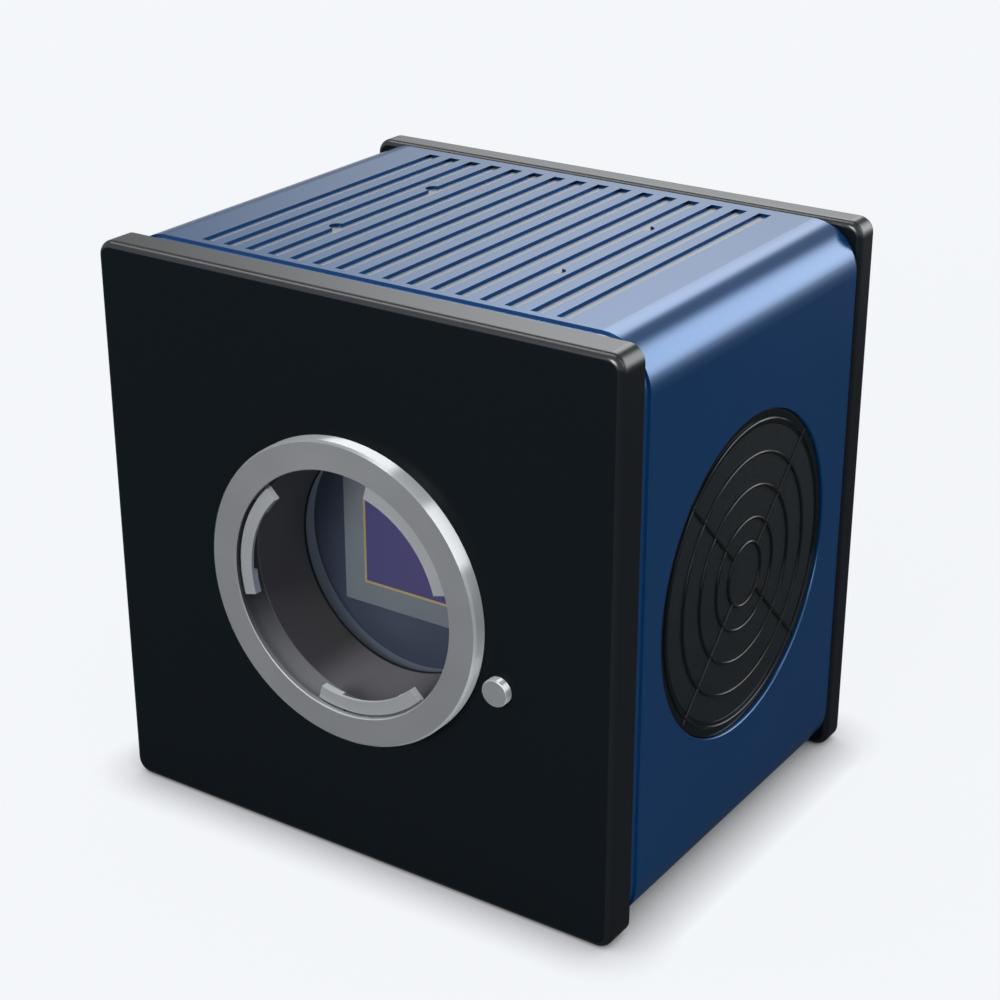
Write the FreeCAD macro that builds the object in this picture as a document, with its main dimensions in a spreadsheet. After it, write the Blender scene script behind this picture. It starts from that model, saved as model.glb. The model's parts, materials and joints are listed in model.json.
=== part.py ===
import FreeCAD, Part
import math
import os
import re
import Sketcher

doc = FreeCAD.newDocument("camera")
dims = doc.addObject("Spreadsheet::Sheet", "Dims")

# Driving dimensions in millimetres and degrees, each with the word that names its cell
SIZES = [
    ("plate_size", 110.0, "front plate, width and height"),
    ("plate_thick", 6.9, "front plate, thickness"),
    ("plate_corner", 3.0, "corner radius of both plates"),
    ("plate_edge", 1.4, "rounding of the front edge"),
    ("plate_break", 0.25, "small bevel on the hidden edge"),
    ("body_depth", 90.0, "front face to back face"),
    ("sleeve_over", 0.2, "sleeve stands over the front plate"),
    ("sleeve_corner", 9.3, "corner radius of the sleeve"),
    ("sleeve_wall", 3.0, "sleeve wall"),
    ("neck_step", 0.4, "depth of the grooves beside the plates"),
    ("neck_front", 1.55, "width of the front groove"),
    ("neck_rear", 1.1, "width of the rear groove"),
    ("rear_over", 0.3, "back plate stands over the front plate"),
    ("rear_thick", 6.0, "back plate, thickness"),
    ("rear_edge", 1.3, "rounding of the back plate"),
    ("fit_gap", 0.05, "gap between pieces that fit together"),
    ("run_gap", 0.04, "radial gap of moving fits"),
    ("slot_count", 16, "slots in the top"),
    ("slot_pitch", 5.0, "distance from slot to slot"),
    ("slot_width", 2.5, "slot width"),
    ("slot_end", 10.0, "slots end, from the front and back faces"),
    ("slot_sink", 0.6, "ribs lie below the top"),
    ("boss_hole_r", 1.5, "round holes in the top, radius"),
    ("boss_hole_x", 23.75, "round holes, across"),
    ("boss_hole_y", 15.0, "round holes, along"),
    ("spreader_thick", 3.0, "heat spreader plate"),
    ("spreader_margin", 1.6, "spreader beyond the slots"),
    ("ring_r", 29.0, "lens ring, outer radius"),
    ("ring_proud", 2.8, "lens ring stands out of the plate"),
    ("ring_chamfer", 0.4, "bevel of the ring's outer edge"),
    ("lip_r", 23.5, "lens ring, inner radius at the lip"),
    ("lip_deep", 1.0, "length of the lip"),
    ("lip_chamfer", 0.15, "bevel of the lip"),
    ("ring_wall_r", 24.3, "radius behind the lip"),
    ("ring_deep", 4.25, "ring reaches into the plate"),
    ("spigot_r", 25.6, "ring in the plate, radius"),
    ("ring_screw_at", 27.3, "ring screws, pitch radius"),
    ("ring_screw_r", 0.8, "ring screws, radius"),
    ("ring_screw_bite", 2.0, "ring screws in the ring"),
    ("ring_head_r", 1.5, "ring screw heads, radius"),
    ("ring_head_tall", 1.5, "ring screw heads, height"),
    ("tab_count", 3, "bayonet tabs"),
    ("tab_inner_r", 20.5, "tabs, inner radius"),
    ("tab_outer_r", 23.0, "tabs, outer radius"),
    ("tab_sink", 0.8, "tabs behind the ring face"),
    ("tab_thick", 0.6, "tab thickness"),
    ("tab_span", 60.0, "angle of each tab"),
    ("tab_turn", 45.0, "turn of the first tab from upright"),
    ("foot_span", 12.0, "angle of a tab's foot"),
    ("foot_tall", 0.9, "length of a tab's foot"),
    ("toe_thick", 0.4, "thickness of a foot's toe on the ring"),
    ("tube_end", 15.7, "throat tube ends behind the front face"),
    ("tube_rear_r", 22.66, "throat tube, inner radius at its end"),
    ("tube_outer_r", 25.3, "throat tube, outer radius"),
    ("flange_r", 29.8, "tube flange, radius"),
    ("flange_thick", 2.0, "tube flange, thickness"),
    ("tube_screw_at", 27.6, "tube screws, pitch radius"),
    ("tube_screw_r", 1.0, "tube screws, radius"),
    ("tube_screw_bite", 4.0, "tube screws in the plate"),
    ("tube_head_r", 1.9, "tube screw heads, radius"),
    ("tube_head_tall", 1.3, "tube screw heads, height"),
    ("gasket_r", 22.5, "seal, inner radius"),
    ("gasket_thick", 0.5, "seal, thickness"),
    ("pocket_r", 23.6, "carrier pocket, radius"),
    ("carrier_floor", 20.0, "carrier floor behind the front face"),
    ("carrier_thick", 1.5, "carrier floor, thickness"),
    ("carrier_size", 64.0, "carrier, width and height"),
    ("carrier_corner", 3.0, "carrier corner radius"),
    ("post_at", 28.0, "carrier posts, across and up from the axis"),
    ("post_r", 3.0, "posts and standoffs, radius"),
    ("stud_r", 1.25, "studs, radius"),
    ("stud_bite", 4.5, "studs, length"),
    ("package_wide", 30.5, "sensor package, width"),
    ("package_tall", 26.04, "sensor package, height"),
    ("package_proud", 1.4, "package stands out of the carrier floor"),
    ("seal_wide", 21.56, "gold frame, width"),
    ("seal_tall", 17.48, "gold frame, height"),
    ("seal_line", 0.5, "gold frame, line width"),
    ("glass_thick", 0.5, "sensor window, thickness"),
    ("die_thick", 0.7, "sensor die, thickness"),
    ("board_thick", 1.6, "circuit boards, thickness"),
    ("sensor_board_wide", 48.0, "sensor board, width"),
    ("sensor_board_tall", 44.0, "sensor board, height"),
    ("spacer_tall", 1.0, "spacers behind the carrier"),
    ("spacer_r", 1.75, "spacers, radius"),
    ("spacer_inset", 3.5, "spacers from the board's edge"),
    ("link_wide", 24.0, "board connectors, width"),
    ("link_tall", 5.0, "board connectors, height"),
    ("link_at", 14.0, "board connectors, up from the axis"),
    ("main_at", 34.0, "main board behind the front face"),
    ("board_wide", 66.0, "main and socket boards, width"),
    ("board_tall", 80.0, "main and socket boards, height"),
    ("chip_size", 30.0, "processor, width and height"),
    ("chip_tall", 3.0, "processor, thickness"),
    ("bridge_thick", 3.0, "heat bridge, thickness"),
    ("riser_wide", 44.0, "riser board, width"),
    ("riser_drop", 30.0, "riser board below the axis"),
    ("board_head_r", 2.4, "board screw heads, radius"),
    ("board_head_tall", 1.6, "board screw heads, height"),
    ("socket_gap", 20.4, "socket board in front of the back plate"),
    ("socket_post_x", 29.0, "socket board standoffs, across"),
    ("socket_post_z", 36.0, "socket board standoffs, up"),
    ("rod_inset", 10.0, "tie rods, from the plate's edges"),
    ("rod_r", 4.0, "tie rods, radius"),
    ("rod_stud_r", 2.0, "tie rod studs, radius"),
    ("rod_stud_bite", 3.8, "tie rod studs, length"),
    ("rod_screw_bite", 10.0, "back screws in the rods"),
    ("rod_head_r", 3.5, "back screw heads, radius"),
    ("rod_head_tall", 4.0, "back screw heads, height"),
    ("hex_r", 1.6, "key socket in a screw head, radius"),
    ("hex_deep", 2.0, "key socket, depth"),
    ("button_x", 31.9, "release button, across"),
    ("button_drop", 10.1, "release button below the axis"),
    ("button_r", 2.58, "release button, radius"),
    ("button_proud", 1.5, "release button stands out"),
    ("button_edge", 0.25, "release button, rounding"),
    ("collar_at", 2.0, "button collar behind the front face"),
    ("collar_thick", 0.8, "button collar, thickness"),
    ("collar_r", 3.3, "button collar, radius"),
    ("collar_gap", 0.3, "gap around the button collar"),
    ("plug_thick", 1.0, "plug behind the button spring"),
    ("coil_wire_r", 0.2, "button spring, wire radius"),
    ("coil_r", 2.4, "button spring, coil radius"),
    ("coil_turns", 3, "button spring, turns"),
    ("vent_recess_r", 30.5, "vent recess, radius"),
    ("vent_recess_deep", 1.6, "vent recess, depth"),
    ("vent_edge", 0.35, "vent recess, rounding of its edge"),
    ("vent_r", 27.0, "vent opening, radius"),
    ("filter_r", 27.55, "filter, radius"),
    ("filter_sink", 0.65, "filter face below the side"),
    ("guard_sink", 0.25, "guard rings below the side"),
    ("guard_ring_r", 28.5, "outermost guard ring, radius"),
    ("guard_pitch", 6.0, "distance from ring to ring"),
    ("guard_hub_r", 6.0, "innermost guard ring, radius"),
    ("guard_line", 0.6, "width of rings and spokes"),
    ("spoke_turn", 45.0, "turn of the spokes"),
    ("fan_size", 60.0, "fan frame, width and height"),
    ("fan_thick", 10.0, "fan frame, thickness"),
    ("fan_corner", 4.0, "fan frame, corner radius"),
    ("duct_r", 28.0, "fan duct, radius"),
    ("fan_hole_at", 25.0, "fan holes, from the fan's axis"),
    ("fan_hole_r", 2.15, "fan holes, radius"),
    ("fan_screw_r", 1.5, "fan screws, radius"),
    ("fan_screw_bite", 1.6, "fan screws in the sleeve"),
    ("fan_head_r", 2.8, "fan screw heads, radius"),
    ("fan_head_tall", 2.0, "fan screw heads, height"),
    ("strut_thick", 2.0, "fan struts, thickness"),
    ("strut_wide", 3.0, "fan struts, width"),
    ("hub_r", 11.5, "rotor hub, radius"),
    ("hub_wall", 2.0, "rotor hub, wall"),
    ("hub_face", 1.5, "rotor hub, face"),
    ("hub_clear", 0.6, "rotor clear of the struts"),
    ("bearing_r", 3.0, "bearing tube, radius"),
    ("bearing_tall", 4.0, "bearing tube, length"),
    ("shaft_r", 1.0, "rotor shaft, radius"),
    ("blade_count", 7, "rotor blades"),
    ("blade_root_chord", 8.0, "blade chord at the hub"),
    ("blade_tip_chord", 12.0, "blade chord at the tip"),
    ("blade_tip_r", 25.5, "blade tip, distance from the axis"),
    ("blade_sink", 1.5, "blade root in the hub's wall"),
    ("blade_thick", 1.3, "blade, thickness along the axis"),
    ("insert_r", 6.0, "tripod insert, radius"),
    ("insert_flange_r", 9.0, "tripod insert, flange radius"),
    ("insert_flange", 3.0, "tripod insert, flange thickness"),
    ("insert_tall", 9.5, "tripod insert, length"),
    ("thread_r", 2.6, "tripod thread, core radius"),
    ("thread_deep", 8.0, "tripod thread, depth"),
    ("power_x", 26.0, "power socket, across"),
    ("power_z", -22.0, "power socket, up from the axis"),
    ("power_r", 7.0, "power socket, radius"),
    ("trigger_x", 3.0, "trigger sockets, across"),
    ("trigger_z", -22.0, "trigger sockets, up from the axis"),
    ("trigger_pitch", 14.0, "trigger sockets, apart"),
    ("trigger_r", 4.0, "trigger sockets, radius"),
    ("socket_lip", 1.6, "socket flange beyond the hole"),
    ("socket_proud", 1.2, "socket flanges stand out"),
    ("socket_wall", 1.2, "socket wall"),
    ("socket_deep", 8.0, "sockets, depth of the hollow"),
    ("pin_r", 0.6, "socket pins, radius"),
    ("pin_spread", 2.9, "power pins, from the socket's axis"),
    ("pin_long", 6.0, "socket pins, length"),
    ("net_x", 22.0, "network socket, across"),
    ("net_z", 6.0, "network socket, up from the axis"),
    ("net_wide", 16.0, "network socket, width"),
    ("net_tall", 13.6, "network socket, height"),
    ("net_mouth_wide", 11.8, "network mouth, width"),
    ("net_mouth_tall", 7.6, "network mouth, height"),
    ("net_deep", 12.0, "network mouth, depth"),
    ("contact_count", 8, "network contacts"),
    ("contact_pitch", 1.02, "network contacts, apart"),
    ("contact_wide", 0.45, "network contacts, width"),
    ("contact_tall", 1.0, "network contacts, height"),
    ("contact_long", 8.4, "network contacts, length"),
    ("lamp_x", -8.0, "status light, across"),
    ("lamp_z", 6.0, "status light, up from the axis"),
    ("lamp_r", 1.6, "status light, radius"),
    ("lamp_proud", 0.4, "status light stands out"),
    ("key_x", -26.0, "power button, across"),
    ("key_z", 6.0, "power button, up from the axis"),
    ("key_r", 5.0, "power button, radius"),
    ("key_proud", 1.4, "power button stands out"),
    ("key_edge", 0.4, "power button, rounding"),
    ("key_travel", 1.0, "power button, travel"),
    ("key_collar_r", 6.4, "power button collar, radius"),
    ("key_collar", 1.2, "power button collar, thickness"),
    ("stem_r", 1.8, "power button stem, radius"),
    ("switch_size", 12.0, "switch body, width and height"),
    ("switch_tall", 10.0, "switch body, length"),
    ("stem_reach", 2.5, "stem in the switch body"),
    ("stem_clear", 0.6, "pressed stem above the bore's floor"),
    ("key_wire_r", 0.3, "power button spring, wire radius"),
    ("key_coil_r", 3.6, "power button spring, coil radius"),
    ("key_turns", 4, "power button spring, turns"),
]
for row, (word, number, note) in enumerate(SIZES, start=1):
    dims.set("A%d" % row, note)
    dims.set("B%d" % row, str(number))
    dims.setAlias("B%d" % row, word)
doc.recompute()

WORD = re.compile(r"[a-z][a-z_]*")
FUNCTIONS = ("sin", "cos")
QUARTER_TURN = math.pi / 2
PLANES = {"top": "XY_Plane", "front": "XZ_Plane", "side": "YZ_Plane"}

# Formulas that several pieces share
FRONT = "-body_depth / 2"
AXIS = "plate_size / 2"
REAR = "body_depth / 2 - rear_thick"
SIDE = "plate_size / 2 + sleeve_over"
SLEEVE_LONG = "body_depth - plate_thick - rear_thick"
CARRIER_FRONT = "tube_end + gasket_thick"
CARRIER_BACK = "carrier_floor + carrier_thick"
SENSOR_BOARD = CARRIER_BACK + " + spacer_tall"
PACKAGE_FACE = "carrier_floor - package_proud"
MAIN_BACK = "main_at + board_thick"
INNER_TOP = "plate_size / 2 + sleeve_over - sleeve_wall"
SOCKET_BOARD = "-socket_gap - board_thick"
FAN_BACK = "-sleeve_wall - fan_thick"
STRUT_FACE = "-sleeve_wall - fan_thick + strut_thick"
HUB_OPEN = STRUT_FACE + " + hub_clear"
HUB_FACE = "-sleeve_wall - hub_clear - hub_face"
PLUG_FACE = "plate_thick - plug_thick"

parts = []


def bound(formula):
    """Make the words of a formula read their cells of the sheet."""
    def cell(match):
        word = match.group()
        return word if word in FUNCTIONS else "Dims." + word
    return WORD.sub(cell, formula)


def value(formula):
    """The number a formula gives now."""
    return float(dims.evalExpression(bound(formula)))


def minus(formula):
    return "-(" + formula + ")"


def new_part(label, across="0", along="0", up="0"):
    """A body with a place of its own in the camera's frame."""
    body = doc.addObject("PartDesign::Body", label)
    body.Label = label
    body.AllowCompound = True
    body.setExpression("Placement.Base.x", bound(across))
    body.setExpression("Placement.Base.y", bound(along))
    body.setExpression("Placement.Base.z", bound(up))
    parts.append(body)
    return body


def origin(body, role):
    return [item for item in body.Origin.OriginFeatures if item.Role == role][0]


def sketch(body, plane, level="0"):
    """A sketch on one of the body's planes, moved to a level along that plane's axis."""
    item = body.newObject("Sketcher::SketchObject", body.Name + "_sketch")
    item.AttachmentSupport = [(origin(body, PLANES[plane]), "")]
    item.MapMode = "FlatFace"
    item.setExpression("AttachmentOffset.Base.z", bound(minus(level) if plane == "front" else level))
    return item


def hold(item, constraint, formula):
    item.setExpression("Constraints[%d]" % item.addConstraint(constraint), bound(formula))


def fix(item, number, point, across, up):
    hold(item, Sketcher.Constraint("DistanceX", -1, 1, number, point, value(across)), across)
    hold(item, Sketcher.Constraint("DistanceY", -1, 1, number, point, value(up)), up)


def polygon(item, points):
    """A closed outline whose corners are all given by formulas."""
    first = item.GeometryCount
    count = len(points)
    spots = [FreeCAD.Vector(value(across), value(up), 0) for across, up in points]
    for k in range(count):
        item.addGeometry(Part.LineSegment(spots[k], spots[(k + 1) % count]), False)
    for k in range(count):
        item.addConstraint(Sketcher.Constraint("Coincident", first + k, 2, first + (k + 1) % count, 1))
    for k, (across, up) in enumerate(points):
        fix(item, first + k, 1, across, up)


def rectangle(item, left, right, low, high):
    polygon(item, [(left, low), (right, low), (right, high), (left, high)])


def round_rectangle(item, left, right, low, high, radius):
    """A rectangle with equal round corners."""
    x0, x1, z0, z1, r = [value(formula) for formula in (left, right, low, high, radius)]
    first = item.GeometryCount
    ends = [((x0 + r, z0), (x1 - r, z0)), ((x1, z0 + r), (x1, z1 - r)),
            ((x1 - r, z1), (x0 + r, z1)), ((x0, z1 - r), (x0, z0 + r))]
    middles = [(x1 - r, z0 + r), (x1 - r, z1 - r), (x0 + r, z1 - r), (x0 + r, z0 + r)]
    for start, end in ends:
        item.addGeometry(Part.LineSegment(FreeCAD.Vector(*start, 0), FreeCAD.Vector(*end, 0)), False)
    for k, middle in enumerate(middles):
        circle_line = Part.Circle(FreeCAD.Vector(*middle, 0), FreeCAD.Vector(0, 0, 1), r)
        start = (k - 1) * QUARTER_TURN
        item.addGeometry(Part.ArcOfCircle(circle_line, start, start + QUARTER_TURN), False)
    for k in range(4):
        arc = first + 4 + k
        item.addConstraint(Sketcher.Constraint("Tangent", first + k, 2, arc, 1))
        item.addConstraint(Sketcher.Constraint("Tangent", arc, 2, first + (k + 1) % 4, 1))
        item.addConstraint(Sketcher.Constraint("Vertical" if k % 2 else "Horizontal", first + k))
        if k:
            item.addConstraint(Sketcher.Constraint("Equal", first + 4, arc))
    hold(item, Sketcher.Constraint("Radius", first + 4, r), radius)
    hold(item, Sketcher.Constraint("DistanceY", -1, 1, first, 1, z0), low)
    hold(item, Sketcher.Constraint("DistanceX", -1, 1, first + 1, 1, x1), right)
    hold(item, Sketcher.Constraint("DistanceY", -1, 1, first + 2, 1, z1), high)
    hold(item, Sketcher.Constraint("DistanceX", -1, 1, first + 3, 1, x0), left)


def circle(item, across, up, radius):
    spot = FreeCAD.Vector(value(across), value(up), 0)
    number = item.addGeometry(Part.Circle(spot, FreeCAD.Vector(0, 0, 1), value(radius)), False)
    fix(item, number, 3, across, up)
    hold(item, Sketcher.Constraint("Radius", number, value(radius)), radius)


def circles(item, spots, radius):
    for across, up in spots:
        circle(item, across, up, radius)


def corners(across, up):
    """The four places at equal distances from the axis."""
    return [(across, up), (minus(across), up), (minus(across), minus(up)), (across, minus(up))]


def ring_spots(radius, turn):
    """Four places around the axis, a quarter turn apart, the first at an angle."""
    spots = []
    for k in range(4):
        angle = "%d" % (turn + 90 * k)
        spots.append(("(%s) * cos(%s)" % (radius, angle), "(%s) * sin(%s)" % (radius, angle)))
    return spots


def finish(body, feature):
    body.Tip = feature
    doc.recompute()
    return feature


def pad(body, item, length, back=False):
    """Add material from a sketch along the positive axis, or back along it."""
    feature = body.newObject("PartDesign::Pad", body.Name + "_pad")
    feature.Profile = item
    feature.setExpression("Length", bound(length))
    feature.Reversed = (item.AttachmentSupport[0][0].Role == "XZ_Plane") != back
    return finish(body, feature)


def pocket(body, item, length, back=False):
    """Cut a sketch along the positive axis, or back along it; it must remove something."""
    before = body.Shape.Volume
    feature = body.newObject("PartDesign::Pocket", body.Name + "_pocket")
    feature.Profile = item
    feature.setExpression("Length", bound(length))
    feature.Reversed = (item.AttachmentSupport[0][0].Role == "XZ_Plane") == back
    finish(body, feature)
    if body.Shape.Volume > before - 1e-6:
        raise RuntimeError("a pocket of " + body.Label + " cuts nothing")
    return feature


def revolve(body, item, axis):
    feature = body.newObject("PartDesign::Revolution", body.Name + "_revolution")
    feature.Profile = item
    feature.ReferenceAxis = (item, [axis])
    return finish(body, feature)


def sector(body, item, axis, angle, kind="Revolution"):
    """A part turn, half to each side of the sketch, that adds or cuts."""
    feature = body.newObject("PartDesign::" + kind, body.Name + "_" + kind.lower())
    feature.Profile = item
    feature.ReferenceAxis = (item, [axis])
    feature.Midplane = True
    feature.setExpression("Angle", bound(angle))
    return finish(body, feature)


def polar(body, features, axis, count):
    feature = body.newObject("PartDesign::PolarPattern", body.Name + "_pattern")
    feature.Originals = features
    feature.Axis = (origin(body, axis), [""])
    feature.setExpression("Occurrences", bound(count))
    return finish(body, feature)


def row_of(body, features, axis, length, count):
    feature = body.newObject("PartDesign::LinearPattern", body.Name + "_pattern")
    feature.Originals = features
    feature.Direction = (origin(body, axis), [""])
    feature.setExpression("Length", bound(length))
    feature.setExpression("Occurrences", bound(count))
    return finish(body, feature)


def edges_at(body, along):
    """The edges of the body that lie in one plane across its depth."""
    names = []
    for number, edge in enumerate(body.Tip.Shape.Edges, start=1):
        if all(abs(vertex.Y - along) < 1e-6 for vertex in edge.Vertexes):
            names.append("Edge%d" % number)
    return names


def side_circles(body, radius, across):
    """The round edges of one radius in both planes at one distance across the body."""
    names = []
    for number, edge in enumerate(body.Tip.Shape.Edges, start=1):
        round_one = isinstance(edge.Curve, Part.Circle) and abs(edge.Curve.Radius - radius) < 1e-6
        if round_one and abs(abs(edge.Curve.Center.x) - across) < 1e-6:
            names.append("Edge%d" % number)
    return names


def dress(body, kind, names, size):
    base = body.Tip
    feature = body.newObject("PartDesign::" + kind, body.Name + "_" + kind.lower())
    feature.Base = (base, names)
    feature.setExpression("Radius" if kind == "Fillet" else "Size", bound(size))
    return finish(body, feature)


def drill(body, spots, radius, level, depth, back=False, plane="front"):
    item = sketch(body, plane, level)
    circles(item, spots, radius)
    return pocket(body, item, depth, back)


def posts(body, spots, radius, level, length, back=False, plane="front"):
    item = sketch(body, plane, level)
    circles(item, spots, radius)
    return pad(body, item, length, back)


def block(body, left, right, low, high, level, length, back=False):
    item = sketch(body, "front", level)
    rectangle(item, left, right, low, high)
    return pad(body, item, length, back)


def slab(body, wide, tall, level, length):
    """A box centred on the axis."""
    return block(body, minus(wide + " / 2"), wide + " / 2", minus(tall + " / 2"), tall + " / 2", level, length)


def turned(body, points):
    """A round piece about the depth axis from points of depth and radius."""
    item = sketch(body, "side")
    polygon(item, points)
    return revolve(body, item, "H_Axis")


def coil(body, wire, radius, start, length, turns):
    """A spring along the depth axis."""
    item = sketch(body, "side")
    circle(item, start, radius, wire)
    feature = body.newObject("PartDesign::AdditiveHelix", body.Name + "_helix")
    feature.Profile = item
    feature.ReferenceAxis = (item, ["H_Axis"])
    feature.Mode = "height-turns-angle"
    feature.setExpression("Height", bound(length))
    feature.setExpression("Turns", bound(turns))
    return finish(body, feature)


BUTTON_SPOT = ("button_x", minus("button_drop"))
RING_SPOTS = ring_spots("ring_screw_at", 45)
TUBE_SPOTS = ring_spots("tube_screw_at", 0)
POST_SPOTS = corners("post_at", "post_at")
ROD_AT = "plate_size / 2 - rod_inset"
ROD_SPOTS = corners(ROD_AT, ROD_AT)
FAN_SPOTS = corners("fan_hole_at", "fan_hole_at")
SOCKET_SPOTS = corners("socket_post_x", "socket_post_z")
HALF = "plate_size / 2"

# Front plate: a rounded slab, bored for the lens ring and the button, with blind holes behind
front_plate = new_part("front_plate", "0", FRONT, AXIS)
outline = sketch(front_plate, "front")
round_rectangle(outline, minus(HALF), HALF, minus(HALF), HALF, "plate_corner")
pad(front_plate, outline, "plate_thick")
dress(front_plate, "Fillet", edges_at(front_plate, 0), "plate_edge")
dress(front_plate, "Chamfer", edges_at(front_plate, value("plate_thick")), "plate_break")
drill(front_plate, [("0", "0")], "spigot_r + fit_gap", "0", "plate_thick")
drill(front_plate, RING_SPOTS, "ring_screw_r + fit_gap", "0", "plate_thick")
drill(front_plate, RING_SPOTS, "ring_head_r + fit_gap", "plate_thick", "ring_head_tall", True)
drill(front_plate, TUBE_SPOTS, "tube_screw_r", "plate_thick", "tube_screw_bite", True)
drill(front_plate, POST_SPOTS, "stud_r", "plate_thick", "stud_bite", True)
drill(front_plate, ROD_SPOTS, "rod_stud_r", "plate_thick", "rod_stud_bite", True)
drill(front_plate, [BUTTON_SPOT], "button_r + run_gap", "0", "plate_thick")
drill(front_plate, [BUTTON_SPOT], "collar_r + collar_gap", "plate_thick", "plate_thick - collar_at", True)

# Housing sleeve: a square tube with a groove at each end, slots and holes in its top and a vent in each side
sleeve = new_part("housing_sleeve", "0", FRONT + " + plate_thick", AXIS)
outline = sketch(sleeve, "front")
round_rectangle(outline, "neck_step - (" + SIDE + ")", SIDE + " - neck_step", "neck_step - " + HALF,
                SIDE + " - neck_step", "sleeve_corner - neck_step")
pad(sleeve, outline, SLEEVE_LONG)
outline = sketch(sleeve, "front", "neck_front")
round_rectangle(outline, minus(SIDE), SIDE, minus(HALF), SIDE, "sleeve_corner")
pad(sleeve, outline, SLEEVE_LONG + " - neck_front - neck_rear")
outline = sketch(sleeve, "front")
round_rectangle(outline, minus(INNER_TOP), INNER_TOP, "sleeve_wall - " + HALF, INNER_TOP,
                "sleeve_corner - sleeve_wall")
pocket(sleeve, outline, SLEEVE_LONG)
MIDDLE = "body_depth / 2 - plate_thick"
FIRST_SLOT = "slot_pitch * (1 - slot_count) / 2"
slot = sketch(sleeve, "top", SIDE)
rectangle(slot, FIRST_SLOT + " - slot_width / 2", FIRST_SLOT + " + slot_width / 2",
          "slot_end - plate_thick", "body_depth - slot_end - plate_thick")
slot_cut = pocket(sleeve, slot, "sleeve_wall", True)
row_of(sleeve, [slot_cut], "X_Axis", "slot_pitch * (slot_count - 1)", "slot_count")
BOSS_SPOTS = [(across, MIDDLE + " + " + along) for across, along in corners("boss_hole_x", "boss_hole_y")]
drill(sleeve, BOSS_SPOTS, "boss_hole_r", SIDE, "sleeve_wall", True, "top")
VENT_SPOT = [(MIDDLE, "0")]
FAN_SLEEVE_SPOTS = [(MIDDLE + " + " + along, up) for along, up in FAN_SPOTS]
drill(sleeve, VENT_SPOT, "vent_r", SIDE, "sleeve_wall", True, "side")
drill(sleeve, VENT_SPOT, "vent_recess_r", SIDE, "vent_recess_deep", True, "side")
drill(sleeve, FAN_SLEEVE_SPOTS, "fan_screw_r", INNER_TOP, "fan_screw_bite", False, "side")
drill(sleeve, VENT_SPOT, "vent_r", minus(SIDE), "sleeve_wall", False, "side")
drill(sleeve, VENT_SPOT, "vent_recess_r", minus(SIDE), "vent_recess_deep", False, "side")
dress(sleeve, "Fillet", side_circles(sleeve, value("vent_recess_r"), value(SIDE)), "vent_edge")
drill(sleeve, [("0", MIDDLE)], "insert_r", minus(HALF), "sleeve_wall", False, "top")

# Heat spreader: a bare plate under the top whose ribs and round bosses fill the slots and holes
spreader = new_part("heat_spreader", "0", "0", AXIS)
SPREAD_X = "slot_pitch * (slot_count - 1) / 2 + slot_width / 2 + spreader_margin"
SPREAD_Y = "body_depth / 2 - slot_end + spreader_margin"
outline = sketch(spreader, "top", INNER_TOP)
rectangle(outline, minus(SPREAD_X), SPREAD_X, minus(SPREAD_Y), SPREAD_Y)
pad(spreader, outline, "spreader_thick", True)
rib = sketch(spreader, "top", INNER_TOP)
RIB_HALF = "slot_width / 2 - fit_gap"
RIB_REACH = "body_depth / 2 - slot_end - fit_gap"
rectangle(rib, FIRST_SLOT + " - (" + RIB_HALF + ")", FIRST_SLOT + " + " + RIB_HALF, minus(RIB_REACH), RIB_REACH)
rib_pad = pad(spreader, rib, "sleeve_wall - slot_sink")
row_of(spreader, [rib_pad], "X_Axis", "slot_pitch * (slot_count - 1)", "slot_count")
posts(spreader, corners("boss_hole_x", "boss_hole_y"), "boss_hole_r - fit_gap", INNER_TOP,
      "sleeve_wall - slot_sink", False, "top")

# Lens mount ring: flange and lip in front, a thin spigot in the plate
ring = new_part("lens_mount_ring", "0", FRONT, AXIS)
turned(ring, [
    ("-ring_proud", "lip_r + lip_chamfer"),
    ("-ring_proud", "ring_r - ring_chamfer"),
    ("ring_chamfer - ring_proud", "ring_r"),
    ("0", "ring_r"),
    ("0", "spigot_r"),
    ("ring_deep", "spigot_r"),
    ("ring_deep", "ring_wall_r"),
    ("lip_deep - ring_proud", "ring_wall_r"),
    ("lip_deep - ring_proud", "lip_r"),
    ("lip_chamfer - ring_proud", "lip_r"),
])
drill(ring, RING_SPOTS, "ring_screw_r", "0", "ring_screw_bite", True)

# Screws that hold the ring from behind
ring_screws = new_part("mount_ring_screws", "0", FRONT, AXIS)
posts(ring_screws, RING_SPOTS, "ring_screw_r", "-ring_screw_bite",
      "plate_thick + ring_screw_bite - ring_head_tall")
posts(ring_screws, RING_SPOTS, "ring_head_r", "plate_thick - ring_head_tall", "ring_head_tall")

# Bayonet tabs: three thin spring plates, each on two feet whose toes rest on the ring's inner wall
tabs = new_part("bayonet_tabs", "0", FRONT, AXIS)
tabs.Placement = FreeCAD.Placement(tabs.Placement.Base, FreeCAD.Rotation(FreeCAD.Vector(0, 1, 0), 1))
tabs.setExpression("Placement.Rotation.Angle", bound("tab_turn"))
TAB_FACE = "tab_sink - ring_proud"
FOOT_FACE = TAB_FACE + " + tab_thick"
plate = sketch(tabs, "side")
rectangle(plate, TAB_FACE, FOOT_FACE, "tab_inner_r", "tab_outer_r")
plate_turn = sector(tabs, plate, "H_Axis", "tab_span")
FOOT_BACK = FOOT_FACE + " + foot_tall"
foot = sketch(tabs, "side")
polygon(foot, [
    (FOOT_FACE, "tab_inner_r"), (FOOT_BACK, "tab_inner_r"), (FOOT_BACK, "ring_wall_r"),
    (FOOT_BACK + " - toe_thick", "ring_wall_r"), (FOOT_BACK + " - toe_thick", "tab_outer_r"),
    (FOOT_FACE, "tab_outer_r"),
])
foot_turn = sector(tabs, foot, "H_Axis", "tab_span")
gap = sketch(tabs, "side")
rectangle(gap, FOOT_FACE, FOOT_BACK, "tab_inner_r", "ring_wall_r")
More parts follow.
